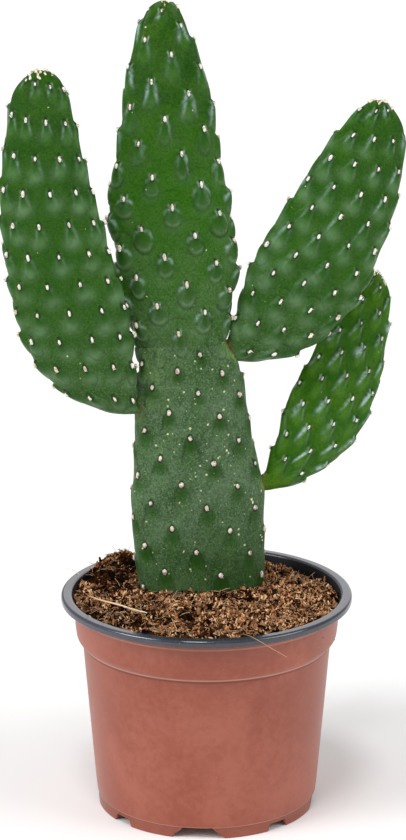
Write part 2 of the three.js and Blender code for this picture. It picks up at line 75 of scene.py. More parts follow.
# Pot. Its rim and its band stand a little higher than in the solid model.
RIM_RISE = 2
POT_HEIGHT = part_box("pot")[1][2] / MM + RIM_RISE
RIM_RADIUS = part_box("pot")[1][0] / MM
FOOT_RADIUS = 64
WALL = 1.3
LIP_WIDTH = 6.2
LIP_THICKNESS = 4.4
BAND_RADIUS = 77.8
BAND_BOTTOM = 98 + RIM_RISE
BODY_TOP_RADIUS = 72.6
BODY_BOTTOM_RADIUS = 65.4
FLOOR_HEIGHT = 8
FOOT_WALL = 2.2
WALL_START = 6
FLOOR_CORNER = 2.5
BAND_SLOPE = 3.6
POT_COLUMNS = 256
NOTCH_COUNT = 8
FIRST_NOTCH = -94.7
WIDE_NOTCH = {"bottom": 29, "top": 15, "height": 6.6}
NARROW_NOTCH = {"bottom": 13, "top": 10, "height": 4.4}

# Every notch as its middle in degrees and its form: wide and narrow ones take turns.
NOTCHES = [
    (FIRST_NOTCH + number * 360 / NOTCH_COUNT, NARROW_NOTCH if number % 2 else WIDE_NOTCH)
    for number in range(NOTCH_COUNT)
]

# Drain holes in the floor, one behind each notch.
DRAIN_HOLE_RADIUS = 4.5
DRAIN_HOLE_SIDES = 24
DRAIN_RING_RADIUS = 52

# Looks of the pot by its height, as (height, spread, amount). Painted highlights lie on the band's
# two edges and on the top of the foot ring. Painted shade lies in the corners under the lip, at the
# band's upper edge, under the band and over the foot ring, and on the foot ring itself.
PAINTED_EDGE_HIGHLIGHTS = [(120.6, 0.45, 0.9), (100.9, 0.5, 0.8), (6.9, 0.4, 0.8)]
SHADED_CORNERS = [
    (123.4, 1.4, 0.9), (118.8, 1.5, 0.35), (99.4, 0.7, 0.9), (5.9, 0.5, 0.9), (2.5, 3.0, 0.35),
]

# Soil.
SOIL_LEVEL = 124.8
SOIL_RISE_AT_TRUNK = 2.5
SOIL_DROP = 2.6
SOIL_LOW_SIDE = 75
SOIL_SLOPE = (18, 60)
SOIL_BUMP = 1.2
SOIL_WAVES = [(0.31, 0.27), (0.63, -0.52)]
SOIL_MOUND = {"x": -50, "y": 40, "top": 4, "radius": 27, "height": 12}
SOIL_EDGE = 76.2
SOIL_EDGE_FLARE = 0.36
SOIL_GAP = 0.4
SOIL_FLOOR_GAP = 0.3
CRUMB_REACH = 0.0768
SOIL_RINGS = 96
SOIL_SPOKES = 380
SOIL_CLODS = [(12.0, 1.9), (5.0, 1.4), (2.3, 0.9), (1.2, 0.45)]
FIRST_CLOD_SEED = 20

# Loose growing mix, in metres: how densely each kind lies, its sizes and its random seed.
CRUMB_KINDS = {
    "peat_crumbs": {
        "density": 400000.0, "smallest": 0.0004, "largest": 0.0020, "raggedness": 0.0013,
        "patch_threshold": 0.30, "seed": 3,
    },
    "coir_crumbs": {
        "density": 460000.0, "smallest": 0.0003, "largest": 0.0014, "raggedness": 0.0007,
        "patch_threshold": 0.41, "seed": 11,
    },
    "coir_flakes": {
        "density": 420000.0, "smallest": 0.0004, "largest": 0.0016, "raggedness": 0.0007,
        "patch_threshold": 0.46, "patch_scale": 40.0, "seed": 17,
    },
}
FIBRE_SIZES = {
    "density": 130000.0, "shortest": 0.0025, "longest": 0.011, "thickness": 0.00014,
    "curl": 0.009, "rise": 0.5, "seed": 5,
}

# How level a face must be to hold loose crumbs: the least upward part of its normal.
UPPER_FACE = 0.25

# Areoles and the tubercles that carry them.
AREOLE_STEP = 0.25
TIP_MARGIN = 0.5
TIP_CROWDING = 0.6
TIP_CROWDING_LENGTH = 30
BASE_CROWDING = 0.25
BASE_CROWDING_LENGTH = 20
TIP_CLUSTER = 0.65
TIP_CLUSTER_LENGTH = 6
COVER_MARGIN = 2.5
RELIEF_REACH = 34

# Rows of a pad's skin: the way between two, the samples that they are found with, and the depth and
# rows of the cap on a flat end.
SKIN_STEP = 0.66
PROFILE_SAMPLES = 4000
CAP_DEPTH = 3.5
CAP_ROWS = 6

# Relief is lower where a pad is thin: the girth from which it is full, and the least share of it.
FULL_RELIEF_GIRTH = 40
LEAST_RELIEF = 0.3

# Where the painted light on a pad's swellings fades, and where its painted sheen grows to its full share.
CLOUD_FADE = ((0, 0.75, 1), (1, 0.8, 0))
SHEEN_RISE = (0.3, 1)

# The relief fades out over this length at a pad's ends. At the base it starts this far into it.
END_FADE = 3
BASE_START = 2

# Wool and bristles of one areole, in metres: on the old trunk and on a green pad.
OLD_TUFT = {
    "wool_width": 0.0013, "wool_length": 0.0017, "wool_height": 0.0009,
    "bristles": 10, "bristle_length": 0.0012, "spread": 0.9, "tipward_lean": 0.1,
}
GREEN_TUFT = {
    "wool_width": 0.00085, "wool_length": 0.0018, "wool_height": 0.0013,
    "bristles": 16, "bristle_length": 0.0018, "spread": 0.6, "tipward_lean": 0.3,
}
BRISTLE_WIDTH = 0.00012

# How far out in the cushion bristles are rooted, as a share of its own reach.
ROOT_SHARE = 0.7

# Pads. Each stands on its joint. Its face is turned about the upright and leans towards the viewer,
# and its axis tilts to the right, in degrees. "outline" is (distance along the axis, reach to the
# left, reach to the right). An areole has "areole_area" of the skin to itself, and the next one is
# "areole_turn" of the girth further round. "edge_crowding" is how far they are spaced by angle and
# not by girth, and none is seen below "plain_below". "relief" is the tubercles' height at the base
# and at the tip. "lobes" says at LOBE_PLACES how far a tubercle is an egg and not a long ridge, and
# "cloud" how strong the painted highlights on soft swellings between tubercles are, with painted
# shade round them. "sheen" is the painted glossy highlight left and right of an areole, and its
# share at the base. "young" is how yellow the base and the tip are. "aged" is how grey the skin is
# at places along the pad, and "aged_wool" how old its wool looks at the base and further up.
PADS = {
    "trunk": {
        "joint": (-2.1, 14.6, 118.4), "face_turn": 12, "face_lean": 0, "axis_tilt": -4.4,
        "outline": [
            (-45, 37, 38), (0, 36.3, 37.8), (48, 37.8, 40.4), (63, 37.4, 41.2),
            (95, 33.6, 36.9), (127, 30.2, 34.6), (143, 27.5, 32), (158.3, 25, 25.2),
        ],
        "half_thickness": [(-45, 18), (0, 17.5), (60, 16.5), (120, 13.5), (158.3, 11.5)],
        "flat_top": True, "grows_from": -45, "plain_below": 7,
        "areole_area": 371, "areole_start": 0.8295, "areole_turn": -0.3832,
        "areole_drift": 0.096, "edge_crowding": 0.9,
        "relief": (0.9, 1.7), "lobes": (0, 0, 0, 0.1, 0.7), "cloud": 0, "sheen": (0, 0, 1),
        "young": (0, 0), "aged": ((0.22, 0.0), (0.36, 0.3), (0.54, 1), (1, 0.75)),
        "areole_size": 1.0, "aged_wool": (1, 1), "slot": "trunk",
    },
    "top_pad": {
        "joint": (-13.9, 12, 276.5), "face_turn": 12, "face_lean": -2, "axis_tilt": -2.9,
        "outline": [
            (-0.6, 25.3, 25.5), (19.7, 31.9, 29.8), (45, 35.6, 33.8), (79, 37.6, 31.8),
            (118, 30.8, 27.1), (150, 24.6, 23.2), (177, 17, 15), (189, 11.3, 11.1), (194.2, 7.6, 8),
            (196.9, 0, 0),
        ],
        "half_thickness": [
            (-0.6, 11.5), (30, 12), (80, 10.5), (140, 8.5), (180, 6.5), (190, 4.8), (196.9, 0),
        ],
        "grows_from": 0, "plain_below": 0,
        "areole_area": 338, "areole_start": 0.3142, "areole_turn": -0.3831,
        "areole_drift": 0.12, "edge_crowding": 0.853,
        "relief": (2.6, 1.9), "lobes": (0.8, 1, 0.6, 0.05, 0), "cloud": 0.3, "sheen": (1.1, 1.25, 0.8),
        "young": (0, 0.3), "aged": ((0, 0.6), (0.4, 0)),
        "areole_size": 1.0, "aged_wool": (0.8, 0.05), "slot": "pad",
    },
    "left_pad": {
        "joint": (-40.2, 1.5, 241.6), "face_turn": 4, "face_lean": 9, "axis_tilt": -15,
        "outline": [
            (-5, 1, 1), (0, 15.4, 0.2), (8, 27, 3), (21, 38.7, 5), (42, 48.5, 8), (63, 51.9, 10.3),
            (105, 48.5, 10.5), (148, 39.6, 10.5), (190, 23.4, 12), (203, 16.5, 10.5), (211, 1, -1),
        ],
        "half_thickness": [
            (-5, 1), (0, 5), (10, 7.5), (40, 9), (110, 8.5), (170, 7), (200, 5), (211, 0),
        ],
        "grows_from": 0, "plain_below": -4,
        "areole_area": 235.5, "areole_start": 0.0349, "areole_turn": 0.4495,
        "areole_drift": 0.12, "edge_crowding": 0.9,
        "relief": (2.4, 1.8), "lobes": (0.6, 0.5, 0.2, 0, 0), "cloud": 1, "sheen": (0.6, 0.8, 0.1),
        "young": (0.2, 0.25), "aged": ((0, 0.7), (0.45, 0)),
        "areole_size": 0.95, "aged_wool": (0.5, 0.05), "slot": "pad",
    },
    "right_pad": {
        "joint": (15.8, 18.4, 269.4), "face_turn": 6, "face_lean": 3, "axis_tilt": 29.9,
        "outline": [
            (-5, 1, 1), (0, 7, 14.5), (7, 7.8, 22.8), (17, 10.4, 33.4), (34, 15, 42.1),
            (67, 18.6, 47.8), (101, 17.2, 43.2), (135, 15.6, 32.6), (152, 12.6, 24.5),
            (162, 9, 17), (168.8, -1, 1),
        ],
        "half_thickness": [
            (-5, 1), (0, 5), (10, 7.5), (40, 9), (90, 8.5), (140, 6.5), (160, 4.6), (168.8, 0),
        ],
        "grows_from": 0, "plain_below": -4,
        "areole_area": 254.6, "areole_start": 0.6008, "areole_turn": -0.4397,
        "areole_drift": -0.032, "edge_crowding": 0.192,
        "relief": (2.4, 1.8), "lobes": (0.6, 0.5, 0.2, 0, 0), "cloud": 1, "sheen": (1.1, 0.4, 0.35),
        "young": (0.4, 0.3), "aged": ((0, 0.6), (0.45, 0)),
        "areole_size": 0.95, "aged_wool": (0.5, 0.05), "slot": "pad",
    },
    "small_pad": {
        "joint": (34.2, 22.3, 187.7), "face_turn": 18, "face_lean": -8, "axis_tilt": 32.2,
        "outline": [
            (-4, 1, 1), (0, 3.6, 7.4), (6, 4, 14.7), (14, 5, 21), (28, 7.3, 29.9),
            (56, 12.8, 37.5), (85, 12.3, 33.8), (113, 8.5, 23.5), (127, 5.9, 17.2),
            (136, 2.9, 11), (141.1, 0, 0),
        ],
        "half_thickness": [
            (-4, 1), (0, 4), (10, 5.5), (40, 6.5), (90, 5.8), (120, 4.6), (134, 3.2), (141.1, 0),
        ],
        "grows_from": 0, "plain_below": -3,
        "areole_area": 191, "areole_start": 0.7725, "areole_turn": -0.1803,
        "areole_drift": 0.099, "edge_crowding": 0.459,
        "relief": (2.2, 1.7), "lobes": (0.1, 0.1, 0, 0, 0), "cloud": 0.2, "sheen": (1.8, 0.3, 1),
        "young": (0.9, 0.6), "aged": ((0, 0),),
        "areole_size": 0.72, "aged_wool": (0.1, 0.0), "slot": "young_pad",
    },
}
LOBE_PLACES = [0, 0.35, 0.6, 0.85, 1]

# The masks that pad_relief paints.
MASKS = ("lobe", "crease", "ear_glints", "sheen_streaks", "pit", "under", "valley", "shade")

# Broad swellings of a pad's skin: their height and width, the radius of the ring that they are drawn
# on, the girths over which they grow, and the distance from the base over which they do.
SWELL = 0.9
SWELL_WIDTH = 26
SWELL_RING = 40
SWELL_GIRTHS = (50, 110)
SWELL_START = 30

# How far the skin sinks below the plain form, as a share of the relief, so the tubercles straddle it.
SINK = 0.35

# A tubercle's tongue, in shares of the areoles' spacing: its length below the areole, its drop above
# it, its half width at the areole and what that grows by. The curve is the exponent of its rise.
TONGUE_LENGTH = 1.15
TONGUE_DROP = 0.2
TONGUE_CURVE = 1.4
TONGUE_TOP_WIDTH = 0.21
TONGUE_FLARE = 0.27

# The egg that hangs from an areole, in shares of the spacing: half its width and half its height,
# the least share of them and how much that varies. The bulge is its share of a tubercle's height.
EGG_WIDTH = 0.2
EGG_HEIGHT = 0.5
EGG_LEAST = 0.85
EGG_VARIETY = 0.3
EGG_BULGE = 0.55

# The exponent that joins neighbouring tubercles: the greater, the sharper the line between them.
BLEND = 5

# Marks in millimetres: how far an areole's ring, painted glints and notch stand from its middle.
RING_RADIUS = 1.35
EAR_PLACE = 1.45
NOTCH_PLACE = 1.9

# How deep an areole's wool is seated in the skin.
TUFT_SINK = 0.1

# The crowded young areoles on the very tip of a pad: how many, how far down they reach, how they
# crowd to the tip, how far they face aside, and how deep they are seated.
CROWN_TUFTS = 32
CROWN_DEPTH = 5
CROWN_CROWDING = 2.5
CROWN_FLARE = 0.7
CROWN_SINK = 0.2

# The trunk runs on into the top pad, so their tubercles cross the joint.
CONTINUED = {"trunk": "top_pad", "top_pad": "trunk"}

# Which pad each pad grows on, where a thin line of cork closes the joint.
GROWS_ON = {"left_pad": "trunk", "right_pad": "trunk", "small_pad": "trunk"}

# How far the cork and the halo reach from the joint, the share of the younger pad's length over
# which cork ends, and the least radius that a section is taken to have.
CORK_REACH = 0.5
HALO_REACH = 7
CORK_SHARE = (0.16, 0.06)
THIN_SECTION = 4

# Loose strands that lie on the soil: points along each one, its thickness at both ends and its kind.
STRANDS = {
    "straw": {
        "points": [(-69.1, -5.6, 128.2), (-61.8, -15.8, 129.2), (-51.2, -24.4, 129.4),
                   (-41.8, -31.5, 128.8), (-34.3, -33.5, 127.6)],
        "thickness": (1.2, 2.0), "kind": "straw",
    },
    "fibre_over_rim": {
        "points": [(11.1, -70, 127.6), (21.5, -77.2, 130.3), (28.7, -82.6, 128.9),
                   (36.5, -86, 125.2), (45, -84.5, 119.5)],
        "thickness": (0.5, 0.35), "kind": "coir",
    },
    "fibre_pale": {
        "points": [(50.2, 7.8, 124.5), (55.6, -7, 126), (58.8, -17.7, 125.5), (61, -21.8, 124)],
        "thickness": (0.75, 0.6), "kind": "straw",
    },
    "fibre_arch": {
        "points": [(23.8, 14.2, 124), (26.7, 12.3, 131), (33.2, 13.7, 133), (40.4, 19.9, 123)],
        "thickness": (0.4, 0.3), "kind": "coir",
    },
    "fibre_by_trunk": {
        "points": [(-14.0, 3.5, 134), (-17.0, -4.3, 131), (-23.6, -16.7, 126)],
        "thickness": (0.4, 0.4), "kind": "coir",
    },
    "fibre_back_right": {
        "points": [(57, 39.7, 120), (62.4, 41.2, 124.5), (67.3, 45.6, 127)],
        "thickness": (0.5, 0.35), "kind": "coir",
    },
    "fibre_front_right": {
        "points": [(30.1, -67.5, 125.5), (33.7, -50.8, 127.5), (37.6, -31.4, 124.5)],
        "thickness": (0.8, 0.5), "kind": "coir",
    },
    "fibre_front": {
        "points": [(-25.3, -13.3, 127), (-19.8, -44.8, 128), (-15.1, -68.5, 125.5)],
        "thickness": (0.55, 0.45), "kind": "coir",
    },
    "fibre_front_left": {
        "points": [(-40.4, -12.6, 127.5), (-32.3, -48.7, 127), (-21.9, -65.8, 125.5)],
        "thickness": (0.5, 0.4), "kind": "coir",
    },
    "fibre_left_rim": {
        "points": [(-83.7, 37.4, 130.5), (-78.6, 34.3, 130.1), (-74.9, 28.5, 128.6)],
        "thickness": (0.4, 0.35), "kind": "straw",
    },
}

# How a strand thins to its ends, how flat it is and how far its tips reach out.
STRAND_END = 0.06
STRAND_TAPER = 0.3
STRAND_FLATNESS = 0.6
STRAND_TIP = 0.2

# Camera, fitted to the photograph's frame.
CAMERA_PLACE = (-2.1, -1800, 761.4)
CAMERA_PITCH = 16.352
CAMERA_LENS = 139.7
SENSOR = 36
CLIP = (0.05, 50)

# Studio light: the even surround, and each broad light's side, strength and softness in degrees.
SURROUND = 0.44
LAMPS = {
    "left_light": ((-1.0, -0.5, 0.75), 1.6, 30),
    "right_light": ((1.0, -0.4, 0.7), 1.0, 35),
    "top_light": ((-0.1, -0.4, 1.0), 0.9, 14),
    "back_light": ((0.15, 1.0, 0.36), 0.25, 35),
}
FLOOR_CORNERS = [(-6000, -6000, 0), (6000, -6000, 0), (6000, 12000, 0), (-6000, 12000, 0)]


# ---- Node helpers ----

def put(tree, kind, inputs=None, **settings):
    """Adds a node. Each input takes a value or another node's output."""
    node = tree.nodes.new(kind)
    for name, value in settings.items():
        setattr(node, name, value)
    for name, value in (inputs or {}).items():
        socket = node.inputs[name]
        if isinstance(value, bpy.types.NodeSocket):
            tree.links.new(value, socket)
        else:
            socket.default_value = value
    return node


def calc(tree, operation, first, second=0.0, third=0.0):
    """The output of a Math node."""
    return put(tree, "ShaderNodeMath", {0: first, 1: second, 2: third}, operation=operation).outputs[0]


def vector_calc(tree, operation, first, second=None, scale=None):
    """The output of a Vector Math node."""
    inputs = {0: first}
    if second is not None:
        inputs[1] = second
    if scale is not None:
        inputs["Scale"] = scale
    return put(tree, "ShaderNodeVectorMath", inputs, operation=operation).outputs[0]


def step(tree, value, low, high, start=0.0, end=1.0):
    """A smooth step: start below low, end above high."""
    return put(tree, "ShaderNodeMapRange", {
        "Value": value, "From Min": low, "From Max": high, "To Min": start, "To Max": end,
    }, interpolation_type="SMOOTHSTEP").outputs["Result"]


def rgba(color):
    """A colour's three numbers with full cover, or another node's output as it is."""
    return color if isinstance(color, bpy.types.NodeSocket) else (*color, 1)


def mix(tree, factor, first, second):
    """Two colours mixed by a factor."""
    inputs = {0: factor, 6: rgba(first), 7: rgba(second)}
    return put(tree, "ShaderNodeMix", inputs, data_type="RGBA").outputs[2]


def paint(tree, color, mask, amount, tint):
    """A colour with a tint laid over it where a mask says so, as strongly as an amount says."""
    return mix(tree, calc(tree, "MULTIPLY", mask, amount), color, tint)


def darker(color, share):
    """A colour with only a share of its light."""
    return tuple(share * part for part in color)


def noise(tree, place, scale, detail=3.0, roughness=0.55, distortion=0.0):
    """The height of a Noise Texture."""
    return put(tree, "ShaderNodeTexNoise", {
        "Vector": place, "Scale": scale, "Detail": detail, "Roughness": roughness,
        "Distortion": distortion,
    }).outputs["Fac"]


def attribute(tree, name):
    """One of the masks that are kept on a mesh."""
    return put(tree, "ShaderNodeAttribute", attribute_name=name).outputs["Fac"]


def new_group(name, kind, inputs, outputs):
    """An empty node group with named sockets, and its input and output nodes."""
    tree = bpy.data.node_groups.new(name, kind)
    for title, socket, value in inputs:
        item = tree.interface.new_socket(name=title, in_out="INPUT", socket_type=socket)
        if value is not None:
            item.default_value = value
    for title, socket in outputs:
        tree.interface.new_socket(name=title, in_out="OUTPUT", socket_type=socket)
    return tree, tree.nodes.new("NodeGroupInput").outputs, tree.nodes.new("NodeGroupOutput").inputs


def place_group(tree, group, inputs):
    """The outputs of a shared group that is placed in a material."""
    return put(tree, "ShaderNodeGroup", inputs, node_tree=group).outputs


# ---- Shared effects of the materials ----

def mottling_group():
    """Soft uneven patches, large ones broken up by small ones."""
    tree, given, result = new_group("Mottling", "ShaderNodeTree", [
        ("Vector", "NodeSocketVector", None), ("Patch Scale", "NodeSocketFloat", 60.0),
        ("Grain Scale", "NodeSocketFloat", 420.0), ("Contrast", "NodeSocketFloat", 0.22),
    ], [("Mask", "NodeSocketFloat")])
    patches = noise(tree, given["Vector"], given["Patch Scale"], 4.0, 0.6, 0.4)
    grain = noise(tree, given["Vector"], given["Grain Scale"], 3.0, 0.6)
    both = calc(tree, "ADD", calc(tree, "MULTIPLY", patches, 0.7), calc(tree, "MULTIPLY", grain, 0.3))
    low = calc(tree, "SUBTRACT", 0.5, given["Contrast"])
    high = calc(tree, "ADD", 0.5, given["Contrast"])
    tree.links.new(step(tree, both, low, high), result["Mask"])
    return tree


def flecks_group():
    """Small scattered spots of unequal size."""
    tree, given, result = new_group("Flecks", "ShaderNodeTree", [
        ("Vector", "NodeSocketVector", None), ("Scale", "NodeSocketFloat", 200.0),
        ("Share", "NodeSocketFloat", 0.3), ("Size", "NodeSocketFloat", 0.25),
    ], [("Mask", "NodeSocketFloat")])
    bent = put(tree, "ShaderNodeTexNoise", {"Vector": given["Vector"], "Scale": 900.0}).outputs["Color"]
    offset = vector_calc(tree, "SCALE", bent, scale=0.0012)
    place = vector_calc(tree, "ADD", given["Vector"], offset)
    cells = put(tree, "ShaderNodeTexVoronoi", {"Vector": place, "Scale": given["Scale"]})
    chance = put(tree, "ShaderNodeSeparateColor", {"Color": cells.outputs["Color"]})
    present = calc(tree, "LESS_THAN", chance.outputs[0], given["Share"])
    reach = calc(tree, "MULTIPLY", given["Size"], calc(tree, "ADD", chance.outputs[1], 0.35))
    inner = calc(tree, "MULTIPLY", reach, 0.6)
    spot = step(tree, cells.outputs["Distance"], inner, reach, 1.0, 0.0)
    tree.links.new(calc(tree, "MULTIPLY", spot, present), result["Mask"])
    return tree


def fine_grain_group():
    """The fine uneven texture of a waxy, moulded or fibrous surface, as a height."""
    tree, given, result = new_group("Fine grain", "ShaderNodeTree", [
        ("Vector", "NodeSocketVector", None), ("Scale", "NodeSocketFloat", 900.0),
        ("Softness", "NodeSocketFloat", 0.5),
    ], [("Height", "NodeSocketFloat")])
    small = noise(tree, given["Vector"], given["Scale"], 4.0, 0.65)
    broad = noise(tree, given["Vector"], calc(tree, "MULTIPLY", given["Scale"], 0.16), 3.0, 0.5)
    rest = calc(tree, "SUBTRACT", 1.0, given["Softness"])
    height = calc(tree, "ADD", calc(tree, "MULTIPLY", small, rest),
                  calc(tree, "MULTIPLY", broad, given["Softness"]))
    tree.links.new(height, result["Height"])
    return tree


def dust_group():
    """Dust and scuffs: short thin scratches and a scatter of fine specks."""
    tree, given, result = new_group("Dust and scuffs", "ShaderNodeTree", [
        ("Vector", "NodeSocketVector", None), ("Speck Scale", "NodeSocketFloat", 350.0),
        ("Amount", "NodeSocketFloat", 0.5),
    ], [("Specks", "NodeSocketFloat"), ("Scuffs", "NodeSocketFloat")])
    cells = put(tree, "ShaderNodeTexVoronoi", {"Vector": given["Vector"], "Scale": given["Speck Scale"]})
    chance = put(tree, "ShaderNodeSeparateColor", {"Color": cells.outputs["Color"]})
    present = calc(tree, "LESS_THAN", chance.outputs[0], calc(tree, "MULTIPLY", given["Amount"], 0.22))
    spot = step(tree, cells.outputs["Distance"], 0.08, 0.2, 1.0, 0.0)
    tree.links.new(calc(tree, "MULTIPLY", spot, present), result["Specks"])
    drawn = put(tree, "ShaderNodeMapping", {"Vector": given["Vector"], "Rotation": (0.3, 0.5, 0.9),
                                            "Scale": (1.0, 0.12, 0.5)}).outputs[0]
    lines = noise(tree, drawn, 420.0, 5.0, 0.7, 0.6)
    limit = calc(tree, "SUBTRACT", 0.74, calc(tree, "MULTIPLY", given["Amount"], 0.1))
    top = calc(tree, "ADD", limit, 0.1)
    tree.links.new(step(tree, lines, limit, top), result["Scuffs"])
    return tree


MOTTLING = mottling_group()
FLECKS = flecks_group()
FINE_GRAIN = fine_grain_group()
DUST = dust_group()


# ---- Materials ----

def new_material(name, **constants):
    """A material with a Principled shader whose plain values are set on its own sockets."""
    material = bpy.data.materials.new(name)
    material.use_nodes = True
    tree = material.node_tree
    shader = tree.nodes["Principled BSDF"]
    for socket, value in constants.items():
        shader.inputs[socket.replace("_", " ")].default_value = value
    place = tree.nodes.new("ShaderNodeTexCoord").outputs["Object"]
    return material, tree, shader, place


def feed(tree, shader, color, roughness, height, strength, distance):
    """Joins a colour, a roughness and a bump height to the shader."""
    tree.links.new(color, shader.inputs["Base Color"])
    tree.links.new(roughness, shader.inputs["Roughness"])
    bump = put(tree, "ShaderNodeBump", {"Height": height, "Strength": strength, "Distance": distance})
    tree.links.new(bump.outputs["Normal"], shader.inputs["Normal"])


def pad_skin(name, fresh, gloss, flecks, bloom):
    """Waxy green skin, greyer where aged: vivid in the valleys, painted highlights on swellings and lobes.
    """
    material, tree, shader, place = new_material(
        name, Specular_IOR_Level=0.11, Subsurface_Weight=0.03, Subsurface_Scale=0.002,
        Coat_Weight=0.03, Coat_Roughness=0.2,
    )
    shader.inputs["Subsurface Radius"].default_value = (0.4, 1.0, 0.2)
    aged = attribute(tree, "aged")
    deep, mid, hazy, vivid = (mix(tree, aged, young, old) for young, old in zip(fresh, AGED_GREENS))
    patches = place_group(tree, MOTTLING, {"Vector": place, "Patch Scale": 55.0,
                                           "Grain Scale": 380.0, "Contrast": 0.16})["Mask"]
    color = mix(tree, patches, deep, mid)
    color = mix(tree, step(tree, attribute(tree, "valley"), 0.1, 0.9, 0.0, 0.85), color, vivid)
    young = calc(tree, "MULTIPLY", attribute(tree, "young"), noise(tree, place, 60.0, 2.0))
    color = mix(tree, step(tree, young, 0.1, 0.6, 0.0, 0.8), color, YOUNG_GREEN)

    # A hazy bloom, thin under the areoles, with pale speckles in it and dark grain over it.
    haze = place_group(tree, MOTTLING, {"Vector": place, "Patch Scale": 45.0, "Grain Scale": 640.0,
                                        "Contrast": bloom["contrast"]})["Mask"]
    open_skin = calc(tree, "MULTIPLY_ADD", attribute(tree, "under"), -0.9, 1.0)
    amount = calc(tree, "MULTIPLY_ADD", aged, bloom["aged"], bloom["fresh"])
    cover = calc(tree, "MULTIPLY", amount, open_skin)
    color = paint(tree, color, haze, cover, hazy)
    # Painted shade between the soft swellings.
    color = paint(tree, color, attribute(tree, "shade"), 0.6, mix(tree, 0.5, deep, vivid))
    color = paint(tree, color, attribute(tree, "halo"), patches, HALO_GREEN)
    speckled = step(tree, noise(tree, place, 1000.0, 2.0, 0.6), 0.45, 0.7, 0.0, 1.2)
    color = paint(tree, color, speckled, cover, hazy)
    grainy = step(tree, noise(tree, place, 820.0, 3.0, 0.7), 0.4, 0.7, 0.0, 0.6)
    color = mix(tree, grainy, color, deep)

    # The marks round each areole, some of them broken up: painted shade below it, in its pit and ring
    # and in the creases, and painted highlights, sheen and glints.
    color = mix(tree, attribute(tree, "under"), color, mix(tree, 0.4, deep, vivid))
    cloudy = step(tree, noise(tree, place, 190.0, 3.0), 0.25, 0.65, 0.6, 1.0)
    broken = step(tree, noise(tree, place, 300.0, 3.0), 0.34, 0.6, 0.25, 1.0)
    patchy = step(tree, noise(tree, place, 140.0, 2.0), 0.3, 0.6, 0.4, 0.95)
    marks = [
        ("lobe", cloudy, LOBE_SHINE), ("sheen_streaks", broken, PAINTED_SHEEN), ("crease", patchy, CREASE_SHADE),
        ("ear_glints", 0.9, PAINTED_SHEEN), ("pit", 0.95, CREASE_SHADE),
    ]
    for title, amount, tint in marks:
        color = paint(tree, color, attribute(tree, title), amount, tint)

    # Pale flecks, gathered here and there, and cork at the joints.
    gathered = step(tree, noise(tree, place, 42.0, 2.0), 0.42, 0.6, 0.2, 1.2)
    share = calc(tree, "MULTIPLY", gathered, flecks["share"])
    spots, specks = (
        place_group(tree, FLECKS, {"Vector": place, "Share": share, "Scale": flecks["scale"] * finer,
                                   "Size": flecks["size"] * fuller})["Mask"]
        for finer, fuller in ((1.0, 1.0), (1.9, 1.5))
    )
    spots = calc(tree, "MULTIPLY", spots, 0.95)
    specks = calc(tree, "MULTIPLY", specks, 0.75)
    color = mix(tree, calc(tree, "MAXIMUM", spots, specks), color, FLECK_GREEN)
    crumbly = step(tree, noise(tree, place, 260.0), 0.3, 0.55)
    cork = calc(tree, "MULTIPLY", attribute(tree, "cork"), crumbly)
    color = mix(tree, cork, color, CORK_BROWN)
    rough = step(tree, haze, 0.0, 1.0, *gloss)
    rough = calc(tree, "ADD", rough, calc(tree, "MULTIPLY", cork, 0.35))
    grain = place_group(tree, FINE_GRAIN, {"Vector": place, "Scale": 1500.0, "Softness": 0.55})["Height"]
    feed(tree, shader, color, rough, grain, 0.3, 0.0006)
    return material


def areole_wool(name, pale, tinted, dark, dark_share):
    """Short wool and bristles: cream, with a pinkish cast on old areoles and darker roots."""
    material, tree, shader, place = new_material(name, Specular_IOR_Level=0.3)
    color = mix(tree, step(tree, attribute(tree, "tone"), 0.25, 0.95), pale, tinted)
    roots = step(tree, noise(tree, place, 700.0, 2.0), 0.5, 0.66)
    color = paint(tree, color, roots, dark_share, dark)
    grain = place_group(tree, FINE_GRAIN, {"Vector": place, "Scale": 3500.0, "Softness": 0.3})["Height"]
    rough = step(tree, roots, 0.0, 1.0, 0.7, 0.95)
    feed(tree, shader, color, rough, grain, 0.6, 0.0005)
    return material


def pot_plastic(name, deep, pale, gloss, highlight_and_scuff, dustiness, shine, sheen=0.0):
    """Thin moulded plastic: pale patches of painted sheen, pits, scuffs, painted edge highlights and shade.
    """
    material, tree, shader, place = new_material(
        name, Specular_IOR_Level=shine, Sheen_Weight=sheen, Sheen_Roughness=0.4,
    )
    patches = place_group(tree, MOTTLING, {"Vector": place, "Patch Scale": 22.0,
                                           "Grain Scale": 260.0, "Contrast": 0.14})["Mask"]
    dust = place_group(tree, DUST, {"Vector": place, "Speck Scale": 520.0, "Amount": dustiness})
    # Pale patches of painted sheen over the deep colour.
    color = mix(tree, patches, deep, pale)
    pitted = step(tree, noise(tree, place, 620.0, 3.0, 0.7), 0.55, 0.8, 0.0, 0.5)
    color = mix(tree, pitted, color, darker(deep, 0.7))
    # Painted shade in the corners under the lip and band and round the foot ring.
    color = paint(tree, color, attribute(tree, "shade"), 0.75, darker(deep, 0.35))
    # Painted highlights along the pot's edges, then scuffs and dust specks in the same pale tint.
    color = paint(tree, color, attribute(tree, "highlight_and_scuff"), 0.8, highlight_and_scuff)
    color = paint(tree, color, dust["Scuffs"], 0.25, highlight_and_scuff)
    color = paint(tree, color, dust["Specks"], 0.35, highlight_and_scuff)
    rough = step(tree, patches, 0.0, 1.0, *gloss)
    rough = calc(tree, "ADD", rough, calc(tree, "MULTIPLY", dust["Scuffs"], 0.2))
    grain = place_group(tree, FINE_GRAIN, {"Vector": place, "Scale": 1100.0, "Softness": 0.35})["Height"]
    feed(tree, shader, color, rough, grain, 0.12, 0.0004)
    return material


